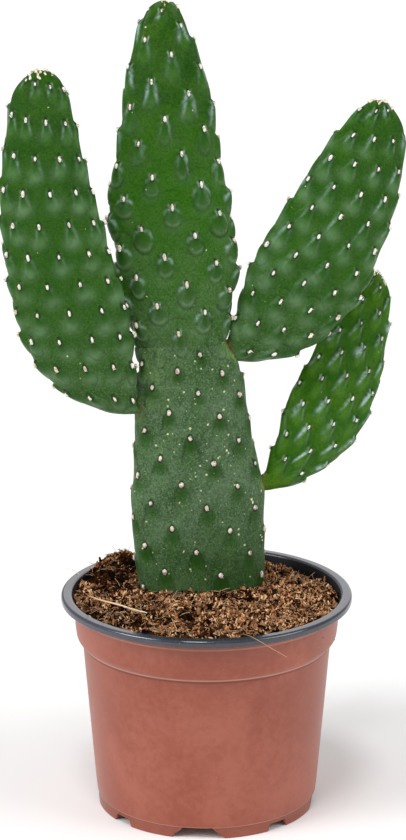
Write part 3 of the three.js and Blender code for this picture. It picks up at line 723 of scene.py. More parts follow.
def damp_patches(tree, place):
    """How dry the growing mix is: damp and dark in clumps, and more so towards the left."""
    across = put(tree, "ShaderNodeSeparateXYZ", {0: place}).outputs[0]
    drier = calc(tree, "MULTIPLY", across, 0.5)
    clumps = calc(tree, "ADD", noise(tree, place, 52.0, 3.0, 0.65, 0.6), drier)
    return step(tree, clumps, 0.42, 0.475, 0.03, 1.65)


def crumb(name, dark, light, warm):
    """Crumbs of peat or coir: each has its own tone and fibrous grain, darker where it is damp."""
    material, tree, shader, place = new_material(name, Specular_IOR_Level=0.06)
    tone = calc(tree, "MULTIPLY", attribute(tree, "tone"), damp_patches(tree, place))
    color = mix(tree, step(tree, tone, 0.1, 0.75), dark, light)
    color = mix(tree, step(tree, tone, 0.7, 1.0), color, warm)
    fibre = noise(tree, place, 1400.0, 4.0, 0.7, 1.5)
    color = mix(tree, step(tree, fibre, 0.55, 0.7, 0.0, 0.8), color, darker(dark, 0.5))
    rough = step(tree, fibre, 0.3, 0.7, 0.8, 0.97)
    feed(tree, shader, color, rough, fibre, 0.8, 0.0008)
    return material


def soil_bed_material():
    """The dark bed under the crumbs: fine peat with brown and orange grit."""
    material, tree, shader, place = new_material("soil_bed", Specular_IOR_Level=0.04)
    clods = noise(tree, place, 160.0, 6.0, 0.75, 0.6)
    color = mix(tree, step(tree, clods, 0.45, 0.62), BED_BLACK, BED_BROWN)
    grit = place_group(tree, FLECKS, {"Vector": place, "Scale": 620.0, "Share": 0.35, "Size": 0.4})["Mask"]
    color = paint(tree, color, grit, 0.8, GRIT_ORANGE)
    grain = place_group(tree, FINE_GRAIN, {"Vector": place, "Scale": 900.0, "Softness": 0.4})["Height"]
    rough = step(tree, clods, 0.3, 0.7, 0.85, 0.98)
    feed(tree, shader, color, rough, grain, 1.0, 0.002)
    return material


def fibre_material(name, dark, light):
    """Thin plant fibres, each with its own tone and darker stretches."""
    material, tree, shader, place = new_material(name, Specular_IOR_Level=0.35)
    color = mix(tree, attribute(tree, "tone"), dark, light)
    patchy = noise(tree, place, 350.0, 3.0)
    color = mix(tree, step(tree, patchy, 0.5, 0.7, 0.0, 0.6), color, darker(dark, 0.5))
    rough = step(tree, patchy, 0.3, 0.7, 0.5, 0.8)
    feed(tree, shader, color, rough, patchy, 0.4, 0.0003)
    return material


def floor_material():
    """The plain matt floor."""
    material, _, shader, _ = new_material("pale_floor", Roughness=0.9, Specular_IOR_Level=0.1)
    shader.inputs["Base Color"].default_value = rgba(FLOOR_GREY)
    return material


# Greens of the skin: deep, mid, hazy, and the vivid green of the valleys.
AGED_GREENS = [
    (0.010, 0.046, 0.003), (0.040, 0.102, 0.020), (0.170, 0.262, 0.150), (0.026, 0.098, 0.005),
]
FRESH_GREENS = [
    (0.006, 0.054, 0.0), (0.036, 0.120, 0.002), (0.110, 0.190, 0.056), (0.030, 0.142, 0.0),
]
YOUNG_GREENS = [
    (0.012, 0.085, 0.0), (0.048, 0.150, 0.0), (0.150, 0.250, 0.060), (0.066, 0.190, 0.0),
]
YOUNG_GREEN = (0.120, 0.240, 0.004)
HALO_GREEN = (0.150, 0.270, 0.070)
# Painted light and shade: highlights on eggs and swellings, glossy sheen and glints, and shade in creases,
# pits and rings.
LOBE_SHINE = (0.128, 0.245, 0.110)
PAINTED_SHEEN = (0.35, 0.51, 0.43)
CREASE_SHADE = (0.005, 0.014, 0.005)
FLECK_GREEN = (0.72, 0.76, 0.44)
CORK_BROWN = (0.20, 0.13, 0.05)
BED_BLACK = (0.004, 0.002, 0.001)
BED_BROWN = (0.07, 0.030, 0.013)
GRIT_ORANGE = (0.3, 0.13, 0.05)
FLOOR_GREY = (0.93, 0.93, 0.93)

# A skin's gloss is its roughness without and with haze. Bloom is how hazy fresh skin is, and what
# age adds to that.
PAD_SKINS = {
    "trunk": pad_skin(
        "trunk_skin", AGED_GREENS, gloss=(0.42, 0.6),
        flecks={"scale": 165.0, "share": 0.5, "size": 0.135},
        bloom={"fresh": 0.22, "aged": 0.5, "contrast": 0.24},
    ),
    "pad": pad_skin(
        "pad_skin", FRESH_GREENS, gloss=(0.28, 0.44),
        flecks={"scale": 140.0, "share": 0.10, "size": 0.09},
        bloom={"fresh": 0.18, "aged": 0.5, "contrast": 0.13},
    ),
    "young_pad": pad_skin(
        "young_pad_skin", YOUNG_GREENS, gloss=(0.24, 0.40),
        flecks={"scale": 140.0, "share": 0.05, "size": 0.08},
        bloom={"fresh": 0.07, "aged": 0.5, "contrast": 0.13},
    ),
}
WOOL_OLD = areole_wool(
    "wool_old", pale=(0.98, 0.90, 0.80), tinted=(0.80, 0.64, 0.54), dark=(0.12, 0.06, 0.04),
    dark_share=0.7,
)
WOOL = areole_wool(
    "wool", pale=(1.0, 0.97, 0.86), tinted=(0.85, 0.60, 0.34), dark=(0.20, 0.08, 0.03),
    dark_share=0.6,
)
# Each plastic's pale tint is laid on as painted edge highlights and as scuffs and specks.
POT_OUTSIDE = pot_plastic(
    "terracotta_plastic", deep=(0.285, 0.060, 0.028), pale=(0.370, 0.103, 0.062),
    gloss=(0.38, 0.52), highlight_and_scuff=(0.68, 0.36, 0.27), dustiness=0.12, shine=0.5, sheen=0.12,
)
POT_LIP = pot_plastic(
    "lip_plastic", deep=(0.020, 0.022, 0.034), pale=(0.040, 0.043, 0.066),
    gloss=(0.08, 0.18), highlight_and_scuff=(0.42, 0.40, 0.42), dustiness=0.7, shine=0.9,
)
POT_INSIDE = pot_plastic(
    "inner_plastic", deep=(0.008, 0.008, 0.009), pale=(0.014, 0.014, 0.016),
    gloss=(0.4, 0.55), highlight_and_scuff=(0.12, 0.07, 0.045), dustiness=0.9, shine=0.12,
)
SOIL_BED = soil_bed_material()
PEAT = crumb("peat_crumb", dark=(0.006, 0.002, 0.001), light=(0.14, 0.055, 0.024), warm=(0.42, 0.20, 0.095))
COIR = crumb("coir_crumb", dark=(0.06, 0.019, 0.004), light=(0.80, 0.33, 0.12), warm=(1.0, 0.64, 0.35))
COIR_FIBRE = fibre_material("coir_fibre", dark=(0.20, 0.09, 0.036), light=(0.90, 0.58, 0.32))
STRAW = fibre_material("straw", dark=(0.70, 0.47, 0.27), light=(0.95, 0.76, 0.54))


# ---- Mesh helpers ----

def new_piece(name, points, faces, materials, attributes=None, face_materials=None):
    """A smooth mesh object from points in millimetres, linked to the scene."""
    mesh = bpy.data.meshes.new(name)
    mesh.from_pydata(np.asarray(points) * MM, [], faces)
    for material in materials:
        mesh.materials.append(material)
    mesh.shade_smooth()
    if face_materials is not None:
        mesh.polygons.foreach_set("material_index", np.asarray(face_materials, dtype=np.int32))
    for title, values in (attributes or {}).items():
        values = np.asarray(values, dtype=np.float32)
        kind = "FLOAT_VECTOR" if values.ndim == 2 else "FLOAT"
        layer = mesh.attributes.new(title, kind, "POINT")
        layer.data.foreach_set("vector" if values.ndim == 2 else "value", values.ravel())
    mesh.validate()
    piece = bpy.data.objects.new(name, mesh)
    bpy.context.scene.collection.objects.link(piece)
    return piece


def grid_faces(rows, columns, pole_first, pole_last):
    """Quads round a tube of point rows, whose ends close on two poles."""
    number = np.arange(rows * columns).reshape(rows, columns)
    after = np.roll(number, -1, axis=1)
    faces = np.stack([number[:-1], after[:-1], after[1:], number[1:]], axis=-1).reshape(-1, 4).tolist()
    faces += [[pole_first, b, a] for a, b in zip(number[0].tolist(), after[0].tolist())]
    faces += [[a, b, pole_last] for a, b in zip(number[-1].tolist(), after[-1].tolist())]
    return faces


def baked(piece, name):
    """The piece's evaluated mesh as a plain object, in place of the piece."""
    graph = bpy.context.evaluated_depsgraph_get()
    mesh = bpy.data.meshes.new_from_object(piece.evaluated_get(graph))
    mesh.name = name
    bpy.data.objects.remove(piece)
    result = bpy.data.objects.new(name, mesh)
    bpy.context.scene.collection.objects.link(result)
    return result


def grown(piece, group, name, **values):
    """Runs a Geometry Nodes group on a piece, with named inputs, and gives the plain result."""
    modifier = piece.modifiers.new(group.name, "NODES")
    modifier.node_group = group
    for item in group.interface.items_tree:
        key = item.name.replace(" ", "_").lower()
        if item.in_out == "INPUT" and key in values:
            modifier[item.identifier] = values.pop(key)
    assert not values, f"{group.name} has no input {sorted(values)}"
    return baked(piece, name)


def smooth_step(low, high, x):
    """0 before low, 1 after high, and a smooth change between them, whichever is the greater."""
    u = np.clip((x - low) / (high - low), 0, 1)
    return u * u * (3 - 2 * u)


def bell(x, width):
    """1 where x is 0, falling smoothly to both sides within about the width."""
    return np.exp(-(x / width) ** 2)


def lumps(x, y, cell, seed):
    """Smooth random bumps between -1 and 1, about one cell wide."""
    heights = np.random.default_rng(seed).uniform(-1, 1, (LUMP_GRID, LUMP_GRID))
    u, v = np.asarray(x) / cell + LUMP_GRID // 2, np.asarray(y) / cell + LUMP_GRID // 2
    i, j = np.floor(u).astype(int), np.floor(v).astype(int)
    fu, fv = smooth_step(0, 1, u - i), smooth_step(0, 1, v - j)
    corner = lambda a, b: heights[(i + a) % LUMP_GRID, (j + b) % LUMP_GRID]
    near = corner(0, 0) * (1 - fu) + corner(1, 0) * fu
    far = corner(0, 1) * (1 - fu) + corner(1, 1) * fu
    return near * (1 - fv) + far * fv


def curve_through(points):
    """A smooth curve through the points (x, y), flat at its own peaks and valleys."""
    xs, ys = np.array(points, dtype=float).T
    rises = np.diff(ys) / np.diff(xs)
    slopes = np.empty(len(xs))
    slopes[0], slopes[-1] = rises[0], rises[-1]
    for i in range(1, len(xs) - 1):
        before, after = rises[i - 1], rises[i]
        back, ahead = xs[i] - xs[i - 1], xs[i + 1] - xs[i]
        slopes[i] = 0 if before * after <= 0 else (before * ahead + after * back) / (back + ahead)

    def height(x):
        i = np.clip(np.searchsorted(xs, x, side="right") - 1, 0, len(xs) - 2)
        span = xs[i + 1] - xs[i]
        u = np.clip((x - xs[i]) / span, 0, 1)
        keep = 2 * u**3 - 3 * u**2 + 1
        leave, arrive = u**3 - 2 * u**2 + u, u**3 - u**2
        return (keep * ys[i] + leave * span * slopes[i]
                + (1 - keep) * ys[i + 1] + arrive * span * slopes[i + 1])

    return height


# ---- Pads ----

class PadForm:
    """The plain form of a pad: its place, its width and thickness along the axis."""

    def __init__(self, pad):
        turn, lean, tilt = (math.radians(pad[key]) for key in ("face_turn", "face_lean", "axis_tilt"))
        across = np.array([math.cos(turn), math.sin(turn), 0])
        back = np.array([-across[1], across[0], 0])
        upright = np.array([0, 0, math.cos(lean)]) - back * math.sin(lean)
        self.joint = np.array(pad["joint"], dtype=float)
        self.along = upright * math.cos(tilt) + across * math.sin(tilt)
        self.side = across * math.cos(tilt) - upright * math.sin(tilt)
        self.back = np.cross(self.along, self.side)
        self.start, self.end = pad["outline"][0][0], pad["outline"][-1][0]
        self.width_squared = curve_through([(at, ((l + r) / 2) ** 2) for at, l, r in pad["outline"]])
        self.shift = curve_through([(at, (r - l) / 2) for at, l, r in pad["outline"]])
        self.thickness_squared = curve_through([(at, h * h) for at, h in pad["half_thickness"]])

    def section(self, at):
        """Half width, half thickness and sideways shift at a distance along the axis."""
        width = np.sqrt(np.maximum(self.width_squared(at), 0))
        thickness = np.sqrt(np.maximum(self.thickness_squared(at), 0))
        return width, thickness, self.shift(at)

    def girth(self, at):
        """The way round the skin at a distance along the axis."""
        width, thickness, _ = self.section(at)
        root = np.sqrt((3 * width + thickness) * (width + 3 * thickness))
        return math.pi * (3 * (width + thickness) - root)

    def shares(self, at, samples=181):
        """Angles round one section and the share of the girth that each has passed."""
        width, thickness, _ = self.section(at)
        angles = np.linspace(0, FULL_TURN, samples)
        middle = (angles[1:] + angles[:-1]) / 2
        arcs = np.cumsum(np.hypot(width * np.sin(middle), thickness * np.cos(middle)))
        return angles, np.concatenate([[0], arcs]) / arcs[-1]

    def surface(self, angle, at, lift=0.0, shrink=1.0):
        """Points of the skin at angles round and distances along, lifted along the section normal."""
        width, thickness, shift = self.section(np.clip(at, self.start, self.end))
        width, thickness = width * shrink, thickness * shrink
        out_x = np.cos(angle) * np.maximum(thickness, 0.01)
        out_y = np.sin(angle) * np.maximum(width, 0.01)
        length = np.hypot(out_x, out_y)
        x = shift + width * np.cos(angle) + lift * out_x / length
        y = thickness * np.sin(angle) + lift * out_y / length
        across = x[..., None] * self.side + y[..., None] * self.back
        return self.joint + at[..., None] * self.along + across

    def depth(self, points):
        """How deep each point lies, under 1 inside and over 1 outside, and the section's radius."""
        offset = points - self.joint
        at = offset @ self.along
        width, thickness, shift = self.section(np.clip(at, self.start, self.end))
        x = (offset @ self.side - shift) / np.maximum(width, 0.5)
        y = offset @ self.back / np.maximum(thickness, 0.5)
        beyond = np.maximum(np.maximum(self.start - at, at - self.end), 0)
        return np.hypot(np.hypot(x, y), beyond / 10), np.minimum(width, thickness)

    def holds(self, point, margin):
        """Whether a point is inside the pad, or within a margin of it."""
        offset = point - self.joint
        at = offset @ self.along
        if at < self.start - margin or at > self.end + margin:
            return False
        width, thickness, shift = self.section(at)
        x = (offset @ self.side - shift) / (width + margin)
        y = offset @ self.back / (thickness + margin)
        return x * x + y * y < 1


FORMS = {name: PadForm(pad) for name, pad in PADS.items()}


def areole_places(name):
    """A pad's areoles: distance along, angle round, share of the girth, skin each has to itself."""
    pad, form = PADS[name], FORMS[name]
    start, tip = pad["grows_from"], form.end - TIP_MARGIN
    at = np.arange(start, tip, AREOLE_STEP)
    area = pad["areole_area"] * (1 - TIP_CROWDING * np.exp((at - tip) / TIP_CROWDING_LENGTH))
    area *= 1 - BASE_CROWDING * np.exp((start - at) / BASE_CROWDING_LENGTH)
    if "flat_top" not in pad:
        area *= 1 - TIP_CLUSTER * np.exp(-((tip - at) / TIP_CLUSTER_LENGTH) ** 2)
    count = np.cumsum(form.girth(at) * AREOLE_STEP / area)
    numbers = np.arange(1, int(count[-1]) + 1)
    places = np.interp(numbers, count, at)
    turns = pad["areole_start"] + numbers * pad["areole_turn"]
    turns = (turns + pad["areole_drift"] * ((places - start) / (tip - start) - 0.5)) % 1
    areoles = []
    for turn, place, own in zip(turns, places, np.interp(places, at, area)):
        angles, shares = form.shares(place)
        even = np.interp(turn, shares, angles)
        angle = even + (turn * FULL_TURN - even) * pad["edge_crowding"]
        point = form.surface(np.array(angle), np.array(place))
        covered = any(other.holds(point, COVER_MARGIN) for key, other in FORMS.items() if key != name)
        share = np.interp(angle, angles, shares)
        areoles.append((place, angle, share, math.sqrt(own), covered or place < pad["plain_below"]))
    return np.array(areoles)


def skin_rows(name):
    """Distances along the axis for the rows of a pad's skin, and how far each is drawn in."""
    pad, form = PADS[name], FORMS[name]
    fine = np.linspace(form.start, form.end, PROFILE_SAMPLES)
    width, thickness, _ = form.section(fine)
    run = np.concatenate([[0], np.cumsum(np.hypot(np.diff(fine), np.diff(width + thickness) / 2))])
    rows = np.interp(np.arange(0.5, run[-1] / SKIN_STEP) * SKIN_STEP, run, fine)
    shrink = np.ones(len(rows))
    cap = np.linspace(0, math.pi / 2, CAP_ROWS + 2)[1:-1]
    if "flat_top" in pad:
        rows = np.concatenate([rows, form.end + CAP_DEPTH * np.sin(cap)])
        shrink = np.concatenate([shrink, np.cos(cap)])
    if name == "top_pad":
        rows = np.concatenate([form.start - CAP_DEPTH * np.sin(cap[::-1]), rows])
        shrink = np.concatenate([np.cos(cap[::-1]), shrink])
    return rows, shrink, np.interp(rows, fine, run)


def relief_sources(name):
    """What shapes the skin at every areole: run, share of the girth, spacing, height and looks."""
    pad, form = PADS[name], FORMS[name]
    rows, _, run = skin_rows(name)
    place, _, share, spacing, bare = areole_places(name).T
    along = np.clip((place - max(form.start, 0)) / (form.end - max(form.start, 0)), 0, 1)
    fullness = np.clip(form.girth(place) / FULL_RELIEF_GIRTH, LEAST_RELIEF, 1)
    height = np.interp(along, [0, 1], pad["relief"]) * fullness
    lobe = np.interp(along, LOBE_PLACES, pad["lobes"])
    cloud = pad["cloud"] * np.interp(along, *CLOUD_FADE)
    sheen_left, sheen_right, base_share = pad["sheen"]
    sheen_share = np.interp(along, SHEEN_RISE, [base_share, 1])
    sources = np.array([np.interp(place, rows, run), share, spacing, height, lobe, cloud,
                        sheen_left * sheen_share, sheen_right * sheen_share, bare])
    return sources, np.interp([form.start, form.end], rows, run)


def joined_sources(name):
    """A pad's relief sources, with those of the pad that it continues or that continues it."""
    sources, (run_start, run_end) = relief_sources(name)
    if name not in CONTINUED:
        return sources
    others, (other_start, other_end) = relief_sources(CONTINUED[name])
    others[0] += run_end - other_start if name == "trunk" else run_start - other_end
    return np.hstack([sources, others])


def pad_relief(name, rows, run, columns):
    """How far each point of a pad's skin stands out, and its colour masks, painted light and shade among
    them.

    Round each areole, u is the way round the skin and v the way up it, both in millimetres.
    """
    form = FORMS[name]
    centre, share, spacing, height, lobe, cloud, sheen_left, sheen_right, bare = joined_sources(name)
    chance = np.random.default_rng(len(share)).uniform(0, 1, (6, len(share)))
    lift = np.zeros((len(rows), len(columns)))
    masks = {title: np.zeros_like(lift) for title in MASKS}
    for row, at in enumerate(rows):
        near = np.abs(centre - run[row]) < RELIEF_REACH
        if not near.any():
            continue
        girth = form.girth(np.clip(at, form.start, form.end - 0.5))
        u = ((columns[:, None] - share[near] + 0.5) % 1 - 0.5) * girth
        v = run[row] - centre[near]
        size, tall, lobed = spacing[near], height[near], lobe[near]
        glossy = np.where(u < 0, sheen_left[near], sheen_right[near])
        shown = bare[near] == 0
        draw = chance[:, near]
        up = v / size

        # A tongue rises to the areole and drops steeply above it.
        down = np.clip(-v / (TONGUE_LENGTH * size), 0, 1)
        rise = np.where(v > 0, 1 - smooth_step(0.0, TONGUE_DROP, up), (1 - down) ** TONGUE_CURVE)
        reach = size * (TONGUE_TOP_WIDTH + TONGUE_FLARE * smooth_step(-0.1, 0.6, down))
        tongue = rise * np.clip(1 - (u / reach) ** 2, 0, 1) ** 0.9

        # An egg hangs from the areole, the broader and shorter the more the skin is lobed.
        half_width = size * (EGG_WIDTH + 0.1 * lobed) * (EGG_LEAST + EGG_VARIETY * draw[4])
        half_height = size * (EGG_HEIGHT - 0.12 * lobed) * (EGG_LEAST + EGG_VARIETY * draw[5])
        egg = np.hypot(u / half_width, (v + half_height - 0.03 * size) / half_height)
        depth = -v / (2 * half_height)
        dome = np.clip(1 - egg**2, 0, 1) ** 0.5
        bulge = tall * tongue + EGG_BULGE * tall * lobed * dome
        lift[row] = (bulge**BLEND).sum(axis=1) ** (1 / BLEND)

        # The deep green of the valleys, and of the long ridges on skin without eggs.
        ridge = bell(u, 0.2 * size) * smooth_step(-0.1, -0.3, up)
        ridge = ridge * smooth_step(-1.25, -0.7, up) * (1 - lobed)
        flat = 1 - np.clip(1.2 * tongue + 0.6 * lobed * dome, 0, 1).max(axis=1)
        masks["valley"][row] = np.maximum(flat * lobed.mean(), ridge.max(axis=1))

        # Painted shade on dark borders below the eggs, on arches over some areoles, and on grooves beside
        # the ridges.
        border = bell(egg - 1.06, 0.1) * smooth_step(0.4, 0.75, depth)
        border = border * lobed * (0.1 + 0.75 * draw[0] ** 1.5)
        arch = bell(np.hypot(u, v - 0.02 * size) - 0.5 * size, 0.55)
        arch = arch * smooth_step(0.1, 0.6, up) * np.clip(draw[1] - 0.3, 0, 1) * lobed
        groove = bell(np.abs(u) - 2.2 + 0.26 * v, 0.9) * (1 - lobed) * (1 - cloud[near])
        groove = groove * smooth_step(-0.5, -2.5, v) * smooth_step(-0.8 - 0.5 * draw[5], -0.3, up)
        groove = 0.65 * groove * np.where(u < 0, draw[2], draw[3])
        masks["crease"][row] = np.maximum(np.maximum(border, 1.3 * arch), groove).max(axis=1)

        # Painted highlights on the lower part of an egg and on soft swellings between areoles, and painted
        # shade between the swellings.
        crescent = bell(egg - 0.7, 0.2) * smooth_step(0.42, 0.8, depth) * lobed
        aside, below = 0.35 * (draw[1] - 0.5) * size, (0.5 + 0.3 * draw[5]) * size
        puff = bell(u - aside, 0.32 * size) * bell(v + below, 0.27 * size)
        soft = puff * cloud[near] * (0.6 + 0.5 * draw[4])
        pale = np.maximum(crescent * (0.45 + 0.55 * draw[2]), soft)
        masks["lobe"][row] = pale.max(axis=1)
        masks["shade"][row] = cloud[near].max() * np.clip(1 - 1.5 * puff.max(axis=1), 0, 1)

        # Painted glossy sheen along the upper sides of the egg or the ridge.
        side = bell((egg - 0.88) * half_width, 0.75)
        side = side * smooth_step(0.0, 0.1, depth) * smooth_step(0.35 + 0.25 * draw[5], 0.15, depth)
        wedge = bell(np.abs(u) - 1.1 + 0.22 * v, 0.55 + 0.75 * glossy * draw[4])
        wedge = wedge * smooth_step(-0.3, -1.6, v) * smooth_step(-0.6 - 0.5 * draw[5], -0.25, up)
        side = side * lobed + wedge * (1 - lobed)
        side = side * np.where(u < 0, draw[2], draw[3]) ** 0.9 * glossy
        masks["sheen_streaks"][row] = np.where(shown, side, 0).max(axis=1)

        # Painted glints at both sides of the tuft.
        glint = bell(np.abs(u) - EAR_PLACE - 0.1 * v, 0.42)
        glint = glint * smooth_step(-1.8, -0.6, v) * smooth_step(2.3, 1.2, v)
        glint = glint * np.where(u < 0, draw[4], draw[1]) * glossy
        masks["ear_glints"][row] = np.where(shown, glint, 0).max(axis=1)

        # Painted shade: a dark notch above the tuft, a dark ring round it and a deep green patch below.
        pit = bell(u, 0.7) * bell(v - NOTCH_PLACE, 0.8)
        rim = (0.85 - 0.35 * glossy) * bell(np.hypot(u, v / 1.45) - RING_RADIUS, 0.5)
        masks["pit"][row] = np.where(shown, np.maximum(pit, rim), 0).max(axis=1)
        under = bell(u, 0.22 * size) * bell(v + 0.26 * size, 0.24 * size)
        masks["under"][row] = np.where(shown, under * (0.55 + 0.45 * draw[3]), 0).max(axis=1)
    lift += 0.2 * masks["ear_glints"] - 0.35 * masks["pit"] - 0.45 * masks["crease"]
    sunk = SINK * np.interp(rows, [max(form.start, 0), form.end], PADS[name]["relief"])
    return lift - sunk[:, None], masks


def pad_mesh(name):
    """A pad's skin with its tubercles and masks, and its areoles with the lift of the skin there."""
    pad, form = PADS[name], FORMS[name]
    rows, shrink, run = skin_rows(name)
    widest = form.girth(np.linspace(form.start, form.end, 60)).max()
    count = round(widest / SKIN_STEP)
    columns = np.arange(count) / count
    lift, masks = pad_relief(name, rows, run, columns)
    inner = np.clip(rows, form.start + 0.3, form.end - 0.3)
    angles = np.array([np.interp(columns, *reversed(form.shares(at))) for at in inner])
    runs = np.repeat(run[:, None], count, axis=1)
    swell = lumps(runs, SWELL_RING * np.cos(angles), SWELL_WIDTH, sorted(PADS).index(name))
    fullness = smooth_step(*SWELL_GIRTHS, form.girth(rows)) * smooth_step(0, SWELL_START, run)
    lift += SWELL * swell * fullness[:, None]

    # The relief fades at a pad's ends, but not where the trunk and the top pad run on.
    if name != "trunk":
        from_base = run[-1] if name == "top_pad" else run + BASE_START
        ends = np.minimum(from_base, run[-1] - run) / END_FADE
        lift *= np.clip(ends, 0, 1)[:, None]
    at = np.repeat(rows[:, None], count, axis=1)
    points = form.surface(angles, at, lift, shrink[:, None]).reshape(-1, 3)
    first, last = points[:count].mean(axis=0), points[-count:].mean(axis=0)
    along = (at - form.start) / (form.end - form.start)
    masks["young"] = pad["young"][0] * smooth_step(0.2, 0.0, along)
    masks["young"] += pad["young"][1] * smooth_step(0.7, 1.0, along)
    masks["aged"] = np.interp(along, *zip(*pad["aged"]))
    masks["cork"], masks["halo"] = joint_marks(name, points, along)
    attributes = {title: np.append(values.ravel(), [0, 0]) for title, values in masks.items()}
    faces = grid_faces(len(rows), count, len(points), len(points) + 1)
    piece = new_piece(f"{name}_skin", np.vstack([points, first, last]), faces,
                      [PAD_SKINS[pad["slot"]]], attributes)
    areoles = areole_places(name)
    near_row = np.round(np.interp(areoles[:, 0], rows, np.arange(len(rows)))).astype(int)
    near_column = np.round(areoles[:, 2] * count).astype(int) % count
    return piece, np.column_stack([areoles, lift[near_row, near_column]])


def joint_marks(name, points, share):
    """Brown cork on a thin line where two pads meet, and a fresh pale halo of the older pad's skin."""
    cork, halo = np.zeros((2, len(points)))
    if name in GROWS_ON:
        partners = [GROWS_ON[name]]
    else:
        partners = [younger for younger, older in GROWS_ON.items() if older == name]
    for partner in partners:
        depth, radius = FORMS[partner].depth(points)
        away = (depth - 1) * np.maximum(radius, THIN_SECTION)
        line = bell(away, CORK_REACH)
        if name in GROWS_ON:
            line = line * smooth_step(*CORK_SHARE, share.ravel())
        else:
            halo = np.maximum(halo, bell(away, HALO_REACH))
        cork = np.maximum(cork, line)
    return cork, halo


def areole_points(name, areoles):
    """A mesh of bare points at a pad's areoles, each with its own directions, size and age."""
    pad, form = PADS[name], FORMS[name]
    place, angle, _, spacing, _, lift = areoles[areoles[:, 4] == 0].T
    step_along, step_round = 0.4, 0.01
    along = form.surface(angle, place + step_along) - form.surface(angle, place - step_along)
    around = form.surface(angle + step_round, place) - form.surface(angle - step_round, place)
    outward = np.cross(around, along)
    outward /= np.linalg.norm(outward, axis=1)[:, None]
    tipward = along / np.linalg.norm(along, axis=1)[:, None]
    seat = form.surface(angle, place) + outward * (lift - TUFT_SINK)[:, None]
    size = pad["areole_size"] * np.clip(spacing / math.sqrt(pad["areole_area"]), 0.45, 1)
    size *= np.random.default_rng(len(place)).uniform(0.85, 1.15, len(place))
    old = np.interp((place - form.start) / (form.end - form.start), [0, 0.6], pad["aged_wool"])
    if "flat_top" not in pad:
        draw = np.random.default_rng(len(place)).uniform(0, 1, (4, CROWN_TUFTS))
        crown = form.end - CROWN_DEPTH * draw[0] ** CROWN_CROWDING
        round_crown = FULL_TURN * draw[1]
        seat = np.vstack([seat, form.surface(round_crown, crown, -CROWN_SINK)])
        aim = np.cos(round_crown)[:, None] * form.side + np.sin(round_crown)[:, None] * form.back
        aim = aim * CROWN_FLARE + form.along
        outward = np.vstack([outward, aim / np.linalg.norm(aim, axis=1)[:, None]])
        tipward = np.vstack([tipward, np.repeat(form.along[None], CROWN_TUFTS, axis=0)])
        size = np.append(size, 0.3 + 0.4 * draw[2])
        old = np.append(old, 0.9 * draw[3])
    return new_piece(f"{name}_areole_points", seat, [], [],
                     {"outward": outward, "tipward": tipward, "size": size, "old": old})


# ---- Geometry Nodes: areoles, crumbs and fibres ----

def field(tree, name, kind="FLOAT"):
    """A value that is kept on the points of a mesh."""
    node = put(tree, "GeometryNodeInputNamedAttribute", {"Name": name}, data_type=kind)
    return node.outputs["Attribute"]


def random_number(tree, low, high, seed):
    """A random number of its own for every point."""
    node = put(tree, "FunctionNodeRandomValue", {2: low, 3: high, "Seed": seed}, data_type="FLOAT")
    return node.outputs[1]


def random_vector(tree, low, high, seed):
    """A random vector of its own for every point."""
    node = put(tree, "FunctionNodeRandomValue", {0: low, 1: high, "Seed": seed},
               data_type="FLOAT_VECTOR")
    return node.outputs[0]


def later_seed(tree, given, number):
    """The group's seed moved on, for a random value of its own."""
    return calc(tree, "ADD", given["Seed"], number)


def with_tone(tree, geometry, value):
    """Keeps a tone on every instance, which its material reads."""
    node = put(tree, "GeometryNodeStoreNamedAttribute",
               {"Geometry": geometry, "Name": "tone", "Value": value}, data_type="FLOAT",
               domain="INSTANCE")
    return node.outputs[0]


def inside_radius(tree, place, radius):
    """1 within a radius of the pot's axis, 0 beyond it."""
    flat = vector_calc(tree, "MULTIPLY", place, (1.0, 1.0, 0.0))
    reach = put(tree, "ShaderNodeVectorMath", {0: flat}, operation="LENGTH").outputs["Value"]
    return calc(tree, "LESS_THAN", reach, radius)


def scatter_points(tree, given, place, patches):
    """Random points on a mesh's upper faces within the group's reach, as dense as the patches say."""
    normal = tree.nodes.new("GeometryNodeInputNormal").outputs[0]
    upward = put(tree, "ShaderNodeSeparateXYZ", {0: normal}).outputs[2]
    share = calc(tree, "MULTIPLY", patches, calc(tree, "GREATER_THAN", upward, UPPER_FACE))
    share = calc(tree, "MULTIPLY", share, inside_radius(tree, place, given["Reach"]))
    density = calc(tree, "MULTIPLY", share, given["Density"])
    scatter = put(tree, "GeometryNodeDistributePointsOnFaces",
                  {"Mesh": given["Geometry"], "Density": density, "Seed": given["Seed"]})
    return scatter.outputs["Points"]


def close_tree(tree, given, result, geometry):
    """Ends a tree: real geometry, smooth, in its material."""
    real = put(tree, "GeometryNodeRealizeInstances", {"Geometry": geometry}).outputs[0]
    smooth = put(tree, "GeometryNodeSetShadeSmooth", {"Geometry": real}).outputs[0]
    painted = put(tree, "GeometryNodeSetMaterial", {"Geometry": smooth, "Material": given["Material"]})
    tree.links.new(painted.outputs[0], result["Geometry"])


